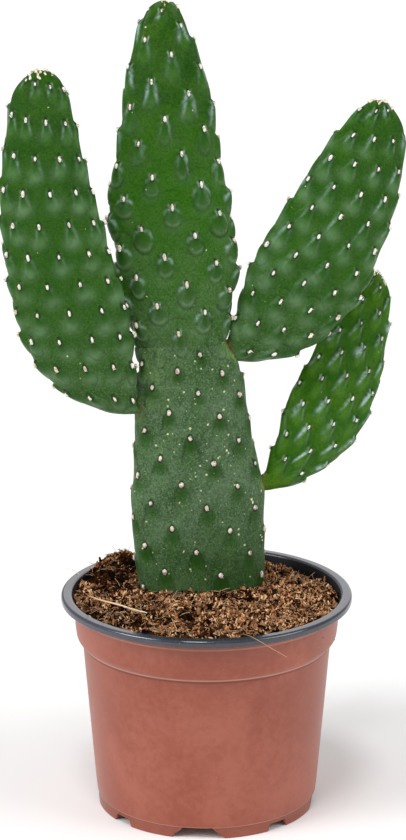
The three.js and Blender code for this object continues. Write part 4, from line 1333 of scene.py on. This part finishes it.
def tufts_group():
    """A cushion of wool and a spray of short bristles on every areole."""
    tree, given, result = new_group("Areole tufts", "GeometryNodeTree", [
        ("Geometry", "NodeSocketGeometry", None), ("Wool Width", "NodeSocketFloat", 0.001),
        ("Wool Length", "NodeSocketFloat", 0.0014), ("Wool Height", "NodeSocketFloat", 0.0008),
        ("Bristles", "NodeSocketInt", 18), ("Bristle Length", "NodeSocketFloat", 0.0018),
        ("Bristle Width", "NodeSocketFloat", 0.00012), ("Spread", "NodeSocketFloat", 0.7),
        ("Tipward Lean", "NodeSocketFloat", 0.35), ("Seed", "NodeSocketInt", 1),
        ("Material", "NodeSocketMaterial", None),
    ], [("Geometry", "NodeSocketGeometry")])
    outward, tipward = field(tree, "outward", "FLOAT_VECTOR"), field(tree, "tipward", "FLOAT_VECTOR")
    size = field(tree, "size")
    points = put(tree, "GeometryNodeMeshToPoints", {"Mesh": given["Geometry"]}).outputs[0]

    # Cushions of wool, pushed in and out a little.
    facing = put(tree, "FunctionNodeAxesToRotation", {0: outward, 1: tipward},
                 primary_axis="Z", secondary_axis="Y").outputs[0]
    ball = put(tree, "GeometryNodeMeshUVSphere", {"Segments": 9, "Rings": 6, "Radius": 1.0}).outputs[0]
    shape = put(tree, "ShaderNodeCombineXYZ", {
        0: given["Wool Width"], 1: given["Wool Length"], 2: given["Wool Height"],
    }).outputs[0]
    jitter = random_vector(tree, (0.8, 0.85, 0.75), (1.15, 1.2, 1.2), given["Seed"])
    shape = vector_calc(tree, "MULTIPLY", shape, jitter)
    shape = vector_calc(tree, "SCALE", shape, scale=size)
    cushions = put(tree, "GeometryNodeInstanceOnPoints", {
        "Points": points, "Instance": ball, "Rotation": facing, "Scale": shape,
    }).outputs[0]
    old = calc(tree, "MULTIPLY", field(tree, "old"), 0.55)
    own_tone = random_number(tree, 0.0, 0.45, later_seed(tree, given, 3))
    cushions = with_tone(tree, cushions, calc(tree, "ADD", own_tone, old))
    cushions = put(tree, "GeometryNodeRealizeInstances", {"Geometry": cushions}).outputs[0]
    place = tree.nodes.new("GeometryNodeInputPosition").outputs[0]
    normal = tree.nodes.new("GeometryNodeInputNormal").outputs[0]
    lump = calc(tree, "SUBTRACT", noise(tree, place, 1100.0, 2.0), 0.5)
    push = vector_calc(tree, "SCALE", normal, scale=calc(tree, "MULTIPLY", lump, given["Wool Width"]))
    cushions = put(tree, "GeometryNodeSetPosition", {"Geometry": cushions, "Offset": push}).outputs[0]

    # Bristles that fan out from within the cushion.
    many = put(tree, "GeometryNodeDuplicateElements",
               {"Geometry": points, "Amount": given["Bristles"]}, domain="POINT").outputs[0]
    sideways = vector_calc(tree, "CROSS_PRODUCT", outward, tipward)
    fan = put(tree, "ShaderNodeSeparateXYZ",
              {0: random_vector(tree, (-1, -1, 0), (1, 1, 1), given["Seed"])}).outputs
    spread_x = calc(tree, "MULTIPLY", fan[0], given["Spread"])
    spread_y = calc(tree, "MULTIPLY_ADD", fan[1], given["Spread"], given["Tipward Lean"])
    aim = vector_calc(tree, "ADD", outward, vector_calc(tree, "SCALE", sideways, scale=spread_x))
    aim = vector_calc(tree, "ADD", aim, vector_calc(tree, "SCALE", tipward, scale=spread_y))
    roots = []
    for direction, where, reach in ((sideways, fan[0], "Wool Width"), (tipward, fan[1], "Wool Length")):
        away = calc(tree, "MULTIPLY", calc(tree, "MULTIPLY", where, size), given[reach])
        away = calc(tree, "MULTIPLY", away, ROOT_SHARE)
        roots.append(vector_calc(tree, "SCALE", direction, scale=away))
    root = vector_calc(tree, "ADD", *roots)
    many = put(tree, "GeometryNodeSetPosition", {"Geometry": many, "Offset": root}).outputs[0]
    aimed = put(tree, "FunctionNodeAxesToRotation", {0: aim, 1: tipward},
                primary_axis="Z", secondary_axis="Y").outputs[0]
    spine = put(tree, "GeometryNodeMeshCone", {
        "Vertices": 4, "Radius Top": 0.12, "Radius Bottom": 1.0, "Depth": 1.0,
    }, fill_type="NONE").outputs[0]
    tall = calc(tree, "MULTIPLY", calc(tree, "MULTIPLY", given["Bristle Length"], size),
                random_number(tree, 0.5, 1.15, later_seed(tree, given, 7)))
    stretch = put(tree, "ShaderNodeCombineXYZ", {
        0: given["Bristle Width"], 1: given["Bristle Width"], 2: tall,
    }).outputs[0]
    spines = put(tree, "GeometryNodeInstanceOnPoints", {
        "Points": many, "Instance": spine, "Rotation": aimed, "Scale": stretch,
    }).outputs[0]
    spines = with_tone(tree, spines, random_number(tree, 0.0, 1.0, later_seed(tree, given, 9)))
    both = tree.nodes.new("GeometryNodeJoinGeometry")
    tree.links.new(spines, both.inputs[0])
    tree.links.new(cushions, both.inputs[0])
    close_tree(tree, given, result, both.outputs[0])
    return tree


def crumbs_group():
    """Loose crumbs scattered on the upper faces of a mesh, gathered in patches."""
    tree, given, result = new_group("Crumbs", "GeometryNodeTree", [
        ("Geometry", "NodeSocketGeometry", None), ("Density", "NodeSocketFloat", 300000.0),
        ("Smallest", "NodeSocketFloat", 0.0004), ("Largest", "NodeSocketFloat", 0.0018),
        ("Patch Scale", "NodeSocketFloat", 70.0), ("Patch Threshold", "NodeSocketFloat", 0.45),
        ("Raggedness", "NodeSocketFloat", 0.0008), ("Reach", "NodeSocketFloat", CRUMB_REACH),
        ("Seed", "NodeSocketInt", 1), ("Material", "NodeSocketMaterial", None),
    ], [("Geometry", "NodeSocketGeometry")])
    place = tree.nodes.new("GeometryNodeInputPosition").outputs[0]
    low = given["Patch Threshold"]
    high = calc(tree, "ADD", low, 0.12)
    patches = step(tree, noise(tree, place, given["Patch Scale"], 2.0), low, high, 0.12, 1.0)
    points = scatter_points(tree, given, place, patches)
    lump = put(tree, "GeometryNodeMeshIcoSphere", {"Radius": 1.0, "Subdivisions": 1}).outputs[0]
    turn = random_vector(tree, (-3.1, -3.1, -3.1), (3.1, 3.1, 3.1), given["Seed"])
    chance = random_number(tree, 0.0, 1.0, later_seed(tree, given, 2))
    spread = calc(tree, "SUBTRACT", given["Largest"], given["Smallest"])
    size = calc(tree, "MULTIPLY_ADD", calc(tree, "POWER", chance, 3.0), spread, given["Smallest"])
    form = random_vector(tree, (0.8, 0.35, 0.2), (2.4, 0.8, 0.5), later_seed(tree, given, 4))
    scale = vector_calc(tree, "SCALE", form, scale=size)
    crumbs = put(tree, "GeometryNodeInstanceOnPoints", {
        "Points": points, "Instance": lump, "Rotation": turn, "Scale": scale,
    }).outputs[0]
    crumbs = with_tone(tree, crumbs, random_number(tree, 0.0, 1.0, later_seed(tree, given, 6)))
    crumbs = put(tree, "GeometryNodeRealizeInstances", {"Geometry": crumbs}).outputs[0]
    ragged = put(tree, "ShaderNodeTexNoise", {"Vector": place, "Scale": 900.0, "Detail": 2.0})
    push = vector_calc(tree, "SUBTRACT", ragged.outputs["Color"], (0.5, 0.5, 0.5))
    push = vector_calc(tree, "SCALE", push, scale=given["Raggedness"])
    crumbs = put(tree, "GeometryNodeSetPosition", {"Geometry": crumbs, "Offset": push}).outputs[0]
    close_tree(tree, given, result, crumbs)
    return tree


def fibres_group():
    """Fine curly fibres lying every way on the upper faces of a mesh."""
    tree, given, result = new_group("Fibres", "GeometryNodeTree", [
        ("Geometry", "NodeSocketGeometry", None), ("Density", "NodeSocketFloat", 30000.0),
        ("Shortest", "NodeSocketFloat", 0.004), ("Longest", "NodeSocketFloat", 0.016),
        ("Thickness", "NodeSocketFloat", 0.00016), ("Curl", "NodeSocketFloat", 0.006),
        ("Rise", "NodeSocketFloat", 0.35), ("Reach", "NodeSocketFloat", CRUMB_REACH),
        ("Seed", "NodeSocketInt", 1), ("Material", "NodeSocketMaterial", None),
    ], [("Geometry", "NodeSocketGeometry")])
    place = tree.nodes.new("GeometryNodeInputPosition").outputs[0]
    patches = step(tree, noise(tree, place, 60.0, 2.0), 0.42, 0.6, 0.25, 1.0)
    points = scatter_points(tree, given, place, patches)
    line = put(tree, "GeometryNodeCurvePrimitiveLine", {"Start": (-0.5, 0, 0), "End": (0.5, 0, 0)})
    line = put(tree, "GeometryNodeResampleCurve", {"Curve": line.outputs[0], "Count": 8}).outputs[0]
    fall = calc(tree, "MULTIPLY", given["Rise"], -1.0)
    turn = put(tree, "ShaderNodeCombineXYZ", {
        0: 0.0, 1: random_number(tree, fall, given["Rise"], given["Seed"]),
        2: random_number(tree, 0.0, FULL_TURN, later_seed(tree, given, 1)),
    }).outputs[0]
    chance = calc(tree, "POWER", random_number(tree, 0.0, 1.0, later_seed(tree, given, 2)), 2.0)
    spread = calc(tree, "SUBTRACT", given["Longest"], given["Shortest"])
    length = calc(tree, "MULTIPLY_ADD", chance, spread, given["Shortest"])
    strands = put(tree, "GeometryNodeInstanceOnPoints", {
        "Points": points, "Instance": line, "Rotation": turn, "Scale": length,
    }).outputs[0]
    strands = with_tone(tree, strands, random_number(tree, 0.0, 1.0, later_seed(tree, given, 5)))
    strands = put(tree, "GeometryNodeRealizeInstances", {"Geometry": strands}).outputs[0]
    bend = put(tree, "ShaderNodeTexNoise", {"Vector": place, "Scale": 90.0, "Detail": 1.0}).outputs["Color"]
    bend = vector_calc(tree, "SUBTRACT", bend, (0.5, 0.5, 0.46))
    bend = vector_calc(tree, "SCALE", bend, scale=given["Curl"])
    strands = put(tree, "GeometryNodeSetPosition", {"Geometry": strands, "Offset": bend}).outputs[0]
    ring = put(tree, "GeometryNodeCurvePrimitiveCircle",
               {"Resolution": 3, "Radius": given["Thickness"]}).outputs[0]
    tubes = put(tree, "GeometryNodeCurveToMesh", {"Curve": strands, "Profile Curve": ring,
                                                 "Fill Caps": True}).outputs[0]
    close_tree(tree, given, result, tubes)
    return tree


TUFTS = tufts_group()
CRUMBS = crumbs_group()
FIBRES = fibres_group()


# ---- Pot ----

def rounded(corners, steps=5):
    """A profile whose corners (r, z, radius) are rounded with short arcs."""
    result = []
    for i, (r, z, radius) in enumerate(corners):
        here = Vector((r, z))
        if radius == 0 or i in (0, len(corners) - 1):
            result.append((r, z))
            continue
        before = (Vector(corners[i - 1][:2]) - here).normalized()
        after = (Vector(corners[i + 1][:2]) - here).normalized()
        start, end = here + before * radius, here + after * radius
        for k in range(steps + 1):
            t = k / steps
            point = start * (1 - t) ** 2 + here * 2 * t * (1 - t) + end * t**2
            result.append((point.x, point.y))
    return result


def pot_profile():
    """The pot's wall from the middle of its underside, round the lip and back to the middle."""
    underside = FLOOR_HEIGHT - WALL
    foot_inner = FOOT_RADIUS - FOOT_WALL
    wall_start = FLOOR_HEIGHT + WALL_START
    band_slope = BAND_BOTTOM + BAND_SLOPE
    band_top = POT_HEIGHT - LIP_THICKNESS
    lip_inner = RIM_RADIUS - LIP_WIDTH
    under_floor = [(0.0, underside, 0), (30, underside, 0), (foot_inner, underside, 0.5)]
    foot_ring = [
        (foot_inner, 3.4, 0), (foot_inner, 0, 0.5), (FOOT_RADIUS, 0, 0.6), (FOOT_RADIUS - 0.2, 3.4, 0),
        (FOOT_RADIUS - 0.4, FLOOR_HEIGHT - 1.5, 0.2),
    ]
    outer_wall = [
        (BODY_BOTTOM_RADIUS - 0.8, FLOOR_HEIGHT - 0.7, 0.5), (BODY_BOTTOM_RADIUS, wall_start, 3.0),
        (68.6, 52, 0), (BODY_TOP_RADIUS - 0.1, BAND_BOTTOM - 1.6, 0),
        (BODY_TOP_RADIUS, BAND_BOTTOM, 0.7),
    ]
    band = [
        (BODY_TOP_RADIUS + 0.9, BAND_BOTTOM + 0.7, 0.3), (BAND_RADIUS - 1.8, band_slope, 2.0),
        (BAND_RADIUS - 1.0, 110, 0), (BAND_RADIUS - 0.3, POT_HEIGHT - 8.8, 0.35),
        (BAND_RADIUS - WALL / 2, POT_HEIGHT - 8, 0.35), (BAND_RADIUS, band_top, 0.5),
    ]
    lip = [
        (RIM_RADIUS, band_top, 1.15), (RIM_RADIUS, POT_HEIGHT, 1.9),
        ((RIM_RADIUS + lip_inner) / 2, POT_HEIGHT - 0.12, 0), (lip_inner, POT_HEIGHT, 1.6),
    ]
    inner_wall = [
        (BAND_RADIUS - WALL, band_top - 2, 1.0), (BAND_RADIUS - 1.8 - WALL, band_slope, 2.0),
        (BODY_TOP_RADIUS - WALL, BAND_BOTTOM, 1.4), (BODY_BOTTOM_RADIUS - WALL, wall_start, 2.0),
    ]
    floor = [
        (BODY_BOTTOM_RADIUS - WALL - FLOOR_CORNER, FLOOR_HEIGHT, 1.0), (30, FLOOR_HEIGHT, 0),
        (0.0, FLOOR_HEIGHT, 0),
    ]
    return rounded(under_floor + foot_ring + outer_wall + band + lip + inner_wall + floor)


def notch_height(degrees):
    """How far the foot ring is cut away at an angle."""
    height = np.zeros_like(degrees)
    for middle, notch in NOTCHES:
        away = np.abs((degrees - middle + 180) % 360 - 180)
        slope = (notch["bottom"] / 2 - away) / ((notch["bottom"] - notch["top"]) / 2)
        height = np.maximum(height, notch["height"] * np.clip(slope, 0, 1))
    return height


def drain_holes():
    """Upright pins that are cut from the pot's floor, one behind each notch."""
    points, faces = [], []
    sides = DRAIN_HOLE_SIDES
    for middle, _ in NOTCHES:
        centre_x = DRAIN_RING_RADIUS * math.cos(math.radians(middle))
        centre_y = DRAIN_RING_RADIUS * math.sin(math.radians(middle))
        first = len(points)
        for z in (FLOOR_HEIGHT - 4, FLOOR_HEIGHT + 3):
            for k in range(sides):
                angle = FULL_TURN * k / sides
                points.append((centre_x + DRAIN_HOLE_RADIUS * math.cos(angle),
                               centre_y + DRAIN_HOLE_RADIUS * math.sin(angle), z))
        for k in range(sides):
            after = (k + 1) % sides
            faces.append((first + k, first + after, first + sides + after, first + sides + k))
        faces.append(tuple(first + k for k in reversed(range(sides))))
        faces.append(tuple(first + sides + k for k in range(sides)))
    return new_piece("drain_hole_pins", points, faces, [POT_INSIDE])


def pot_shell():
    """The pot: a thin wall turned round its axis, its foot ring notched and its floor pierced."""
    corners = [middle + sign * notch[key] / 2
               for middle, notch in NOTCHES for key in ("bottom", "top") for sign in (-1, 1)]
    even = np.arange(POT_COLUMNS) * 360 / POT_COLUMNS
    degrees = np.unique(np.concatenate([even, np.array(corners) % 360]))
    profile = np.array(pot_profile())
    rings = profile[1:-1]
    angles = np.radians(degrees)
    radius, height = (np.repeat(values[:, None], len(angles), axis=1) for values in rings.T)
    points = np.stack([radius * np.cos(angles), radius * np.sin(angles), height], axis=-1)
    points = points.reshape(-1, 3)
    count = len(points)
    faces = grid_faces(len(rings), len(angles), count, count + 1)
    points = np.vstack([points, [0, 0, profile[0][1]], [0, 0, profile[-1][1]]])

    # Faces past the highest ring are inside the pot, and those of the lip have their own colour.
    outside, lip, inside = range(3)
    centres = np.array([points[list(face)].mean(axis=0) for face in faces])
    reach = np.hypot(centres[:, 0], centres[:, 1])
    row = np.concatenate([np.repeat(np.arange(len(rings) - 1), len(angles)),
                          np.zeros(len(angles)), np.full(len(angles), len(rings))])
    top_row = np.argmax(rings[:, 1] >= POT_HEIGHT - 0.2)
    kinds = np.where(row > top_row, inside, outside)
    high = centres[:, 2] > POT_HEIGHT - LIP_THICKNESS + 0.15
    kinds[high & (reach > RIM_RADIUS - LIP_WIDTH - 0.3)] = lip
    shell = new_piece("pot_blank", points, faces, [POT_OUTSIDE, POT_LIP, POT_INSIDE],
                      face_materials=kinds)
    pins = drain_holes()
    cut = shell.modifiers.new("drain holes", "BOOLEAN")
    cut.object, cut.operation, cut.solver = pins, "DIFFERENCE", "EXACT"
    shell = baked(shell, "pot_shell")
    bpy.data.objects.remove(pins)
    cut_notches(shell.data)
    paint_edge_light_and_shade(shell.data)
    return shell


def vertex_places(mesh):
    """Where a mesh's vertices are, in millimetres."""
    places = np.empty(len(mesh.vertices) * 3, dtype=np.float32)
    mesh.vertices.foreach_get("co", places)
    return places.reshape(-1, 3).astype(float) / MM


def cut_notches(mesh):
    """Draws the foot ring's lower edge up into the notches."""
    places = vertex_places(mesh)
    reach = np.hypot(places[:, 0], places[:, 1])
    foot = (reach > FOOT_RADIUS - FOOT_WALL - 0.1) & (places[:, 2] < FLOOR_HEIGHT - 1.6)
    cut = notch_height(np.degrees(np.arctan2(places[:, 1], places[:, 0])))
    places[foot, 2] = np.maximum(places[foot, 2], cut[foot])
    mesh.vertices.foreach_set("co", (places * MM).ravel())
    mesh.update()


def paint_edge_light_and_shade(mesh):
    """Marks painted highlights on the pot's edges and painted shade in its corners, by their height."""
    height = vertex_places(mesh)[:, 2]
    for title, edges in (("highlight_and_scuff", PAINTED_EDGE_HIGHLIGHTS), ("shade", SHADED_CORNERS)):
        mask = sum(amount * bell(height - z, spread) for z, spread, amount in edges)
        layer = mesh.attributes.new(title, "FLOAT", "POINT")
        layer.data.foreach_set("value", np.clip(mask, 0, 1).astype(np.float32))


# ---- Soil ----

def soil_height(x, y):
    """Height of the soil: higher against the trunk, lower to one side, with one mound."""
    trunk_x, trunk_y, _ = PADS["trunk"]["joint"]
    from_trunk = np.hypot((x - trunk_x) / 1.5, y - trunk_y)
    from_mound = np.hypot(x - SOIL_MOUND["x"], y - SOIL_MOUND["y"])
    low_side = math.radians(SOIL_LOW_SIDE)
    tilt = -SOIL_DROP * (x * math.cos(low_side) + y * math.sin(low_side)) / SOIL_EDGE
    rise = SOIL_RISE_AT_TRUNK * (1 - smooth_step(*SOIL_SLOPE, from_trunk))
    mound = SOIL_MOUND["height"] * (1 - smooth_step(SOIL_MOUND["top"], SOIL_MOUND["radius"], from_mound))
    waves = sum(np.sin(along_x * x + along_y * y) for along_x, along_y in SOIL_WAVES)
    return SOIL_LEVEL + tilt + rise + mound + SOIL_BUMP * waves / 2


def soil_bed():
    """The bed of soil: a clodded surface that meets the pot's wall, closed below inside the pot."""
    angle = FULL_TURN * np.arange(SOIL_SPOKES) / SOIL_SPOKES
    brim = soil_height(SOIL_EDGE * np.cos(angle), SOIL_EDGE * np.sin(angle))
    edge = SOIL_EDGE + SOIL_EDGE_FLARE * np.clip(brim - POT_HEIGHT + 6, 0, 5)
    radius = edge * (np.arange(1, SOIL_RINGS + 1) / SOIL_RINGS)[:, None]
    x = radius * np.cos(angle)
    y = radius * np.sin(angle)
    z = soil_height(x, y)
    for number, (cell, height) in enumerate(SOIL_CLODS):
        z = z + height * lumps(x, y, cell, FIRST_CLOD_SEED + number)
    top = np.stack([x, y, z], axis=-1)
    bottom = FLOOR_HEIGHT + SOIL_FLOOR_GAP
    foot_radius = BODY_BOTTOM_RADIUS - WALL - SOIL_GAP
    side = [
        (BAND_RADIUS - 2.4 - WALL, BAND_BOTTOM + 4), (BODY_TOP_RADIUS - WALL - SOIL_GAP, BAND_BOTTOM),
        (foot_radius, bottom + WALL_START), (foot_radius - FLOOR_CORNER, bottom),
    ]
    rings = [np.stack([reach * np.cos(angle), reach * np.sin(angle), np.full_like(angle, level)], axis=-1)
             for reach, level in side]
    points = np.vstack([top.reshape(-1, 3), *rings])
    count = len(points)
    faces = grid_faces(SOIL_RINGS + len(side), SOIL_SPOKES, count, count + 1)
    faces = [face[::-1] for face in faces]
    middle = soil_height(np.array(0.0), np.array(0.0))
    points = np.vstack([points, [0, 0, middle], [0, 0, bottom]])
    return new_piece("soil_bed", points, faces, [SOIL_BED])


def copy_of(piece):
    """A copy of a piece with a mesh of its own."""
    twin = piece.copy()
    twin.data = piece.data.copy()
    bpy.context.scene.collection.objects.link(twin)
    return twin


def strand(name, points, thickness, material, sides=7, steps=6):
    """A thin round strand along given points, thinner to its ends."""
    nodes = np.array(points, dtype=float)
    before = np.vstack([2 * nodes[0] - nodes[1], nodes[:-1]])
    after = np.vstack([nodes[1:], 2 * nodes[-1] - nodes[-2]])
    slopes = (after - before) / 2
    path = []
    for i in range(len(nodes) - 1):
        for k in range(steps + (i == len(nodes) - 2)):
            t = k / steps
            path.append(nodes[i] * (2 * t**3 - 3 * t**2 + 1) + slopes[i] * (t**3 - 2 * t**2 + t)
                        + nodes[i + 1] * (3 * t**2 - 2 * t**3) + slopes[i + 1] * (t**3 - t**2))
    path = np.array(path)
    ahead = np.gradient(path, axis=0)
    ahead /= np.linalg.norm(ahead, axis=1)[:, None]
    across = np.cross(ahead, [0, 0, 1.0])
    across /= np.linalg.norm(across, axis=1)[:, None]
    up = np.cross(across, ahead)
    share = np.linspace(0, 1, len(path))
    taper = np.sin(np.clip(share, STRAND_END, 1 - STRAND_END) * math.pi) ** STRAND_TAPER
    radius = np.interp(share, [0, 1], thickness) / 2 * taper
    angle = FULL_TURN * np.arange(sides) / sides
    ring = across[:, None] * np.cos(angle)[:, None]
    ring = ring + up[:, None] * STRAND_FLATNESS * np.sin(angle)[:, None]
    skin = path[:, None] + ring * radius[:, None, None]
    count = len(path) * sides
    faces = grid_faces(len(path), sides, count, count + 1)
    tips = [path[0] - ahead[0] * STRAND_TIP, path[-1] + ahead[-1] * STRAND_TIP]
    points = np.vstack([skin.reshape(-1, 3), *tips])
    tone = np.append(np.repeat(share, sides), [0, 1])
    return new_piece(name, points, faces, [material], {"tone": tone})


# ---- Stage ----

def stage():
    """A pale floor in soft studio light: an even surround and four broad lights."""
    new_piece("pale_floor", FLOOR_CORNERS, [(0, 1, 2, 3)], [floor_material()])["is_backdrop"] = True
    world = bpy.data.worlds.new("studio")
    bpy.context.scene.world = world
    world.use_nodes = True
    back = world.node_tree.nodes["Background"]
    back.inputs["Color"].default_value = (1, 1, 1, 1)
    back.inputs["Strength"].default_value = SURROUND
    for name, (place, strength, softness) in LAMPS.items():
        lamp = bpy.data.lights.new(name, "SUN")
        lamp.energy, lamp.angle = strength, math.radians(softness)
        lit = bpy.data.objects.new(name, lamp)
        lit.location = place
        lit.rotation_euler = (-Vector(place)).to_track_quat("-Z", "Y").to_euler()
        bpy.context.scene.collection.objects.link(lit)
    bpy.context.scene.view_settings.view_transform = "Standard"


def camera():
    """The camera that the photograph was taken with, as solved from the pot's ellipses."""
    lens = bpy.data.cameras.new("camera")
    lens.lens, lens.sensor_width = CAMERA_LENS, SENSOR
    lens.clip_start, lens.clip_end = CLIP
    holder = bpy.data.objects.new("camera", lens)
    holder.location = Vector(CAMERA_PLACE) * MM
    holder.rotation_euler = (math.radians(90 - CAMERA_PITCH), 0, 0)
    bpy.context.scene.collection.objects.link(holder)
    bpy.context.scene.camera = holder


# ---- Making ----

def dress(piece, slot, *nodes):
    """Puts a finished piece on the body in place of its nodes. Its slot is not used."""
    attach(piece, BODY)
    if nodes:
        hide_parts(*nodes)


def make_plant():
    """Every pad's skin, and the wool and bristles of its areoles."""
    for number, (name, pad) in enumerate(PADS.items()):
        skin, areoles = pad_mesh(name)
        dress(skin, pad["slot"], name)
        tuft, wool = (OLD_TUFT, WOOL_OLD) if name == "trunk" else (GREEN_TUFT, WOOL)
        tufts = grown(
            areole_points(name, areoles), TUFTS, f"{name}_areoles",
            bristle_width=BRISTLE_WIDTH, seed=number + 1, material=wool, **tuft,
        )
        dress(tufts, pad["slot"])


def make_pot():
    """The one moulded pot."""
    dress(pot_shell(), "pot", "pot")


def make_soil():
    """The bed, the crumbs and fibres that grow from copies of it, and the strands laid on it."""
    bed = soil_bed()
    crumb_materials = {"peat_crumbs": PEAT, "coir_crumbs": COIR, "coir_flakes": COIR}
    loose = [
        grown(copy_of(bed), CRUMBS, name, material=crumb_materials[name], **sizes)
        for name, sizes in CRUMB_KINDS.items()
    ]
    loose.append(grown(copy_of(bed), FIBRES, "coir_fibres", material=COIR_FIBRE, **FIBRE_SIZES))
    dress(bed, "soil", "soil")
    for piece in loose:
        dress(piece, "soil")
    for name, made in STRANDS.items():
        material = STRAW if made["kind"] == "straw" else COIR_FIBRE
        dress(strand(name, made["points"], made["thickness"], material), "soil")


camera()
stage()
make_pot()
make_soil()
make_plant()

boxes = {"cad": CAD_BOX, "visual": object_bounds()}
{name: [list(corner) for corner in box] for name, box in boxes.items()}
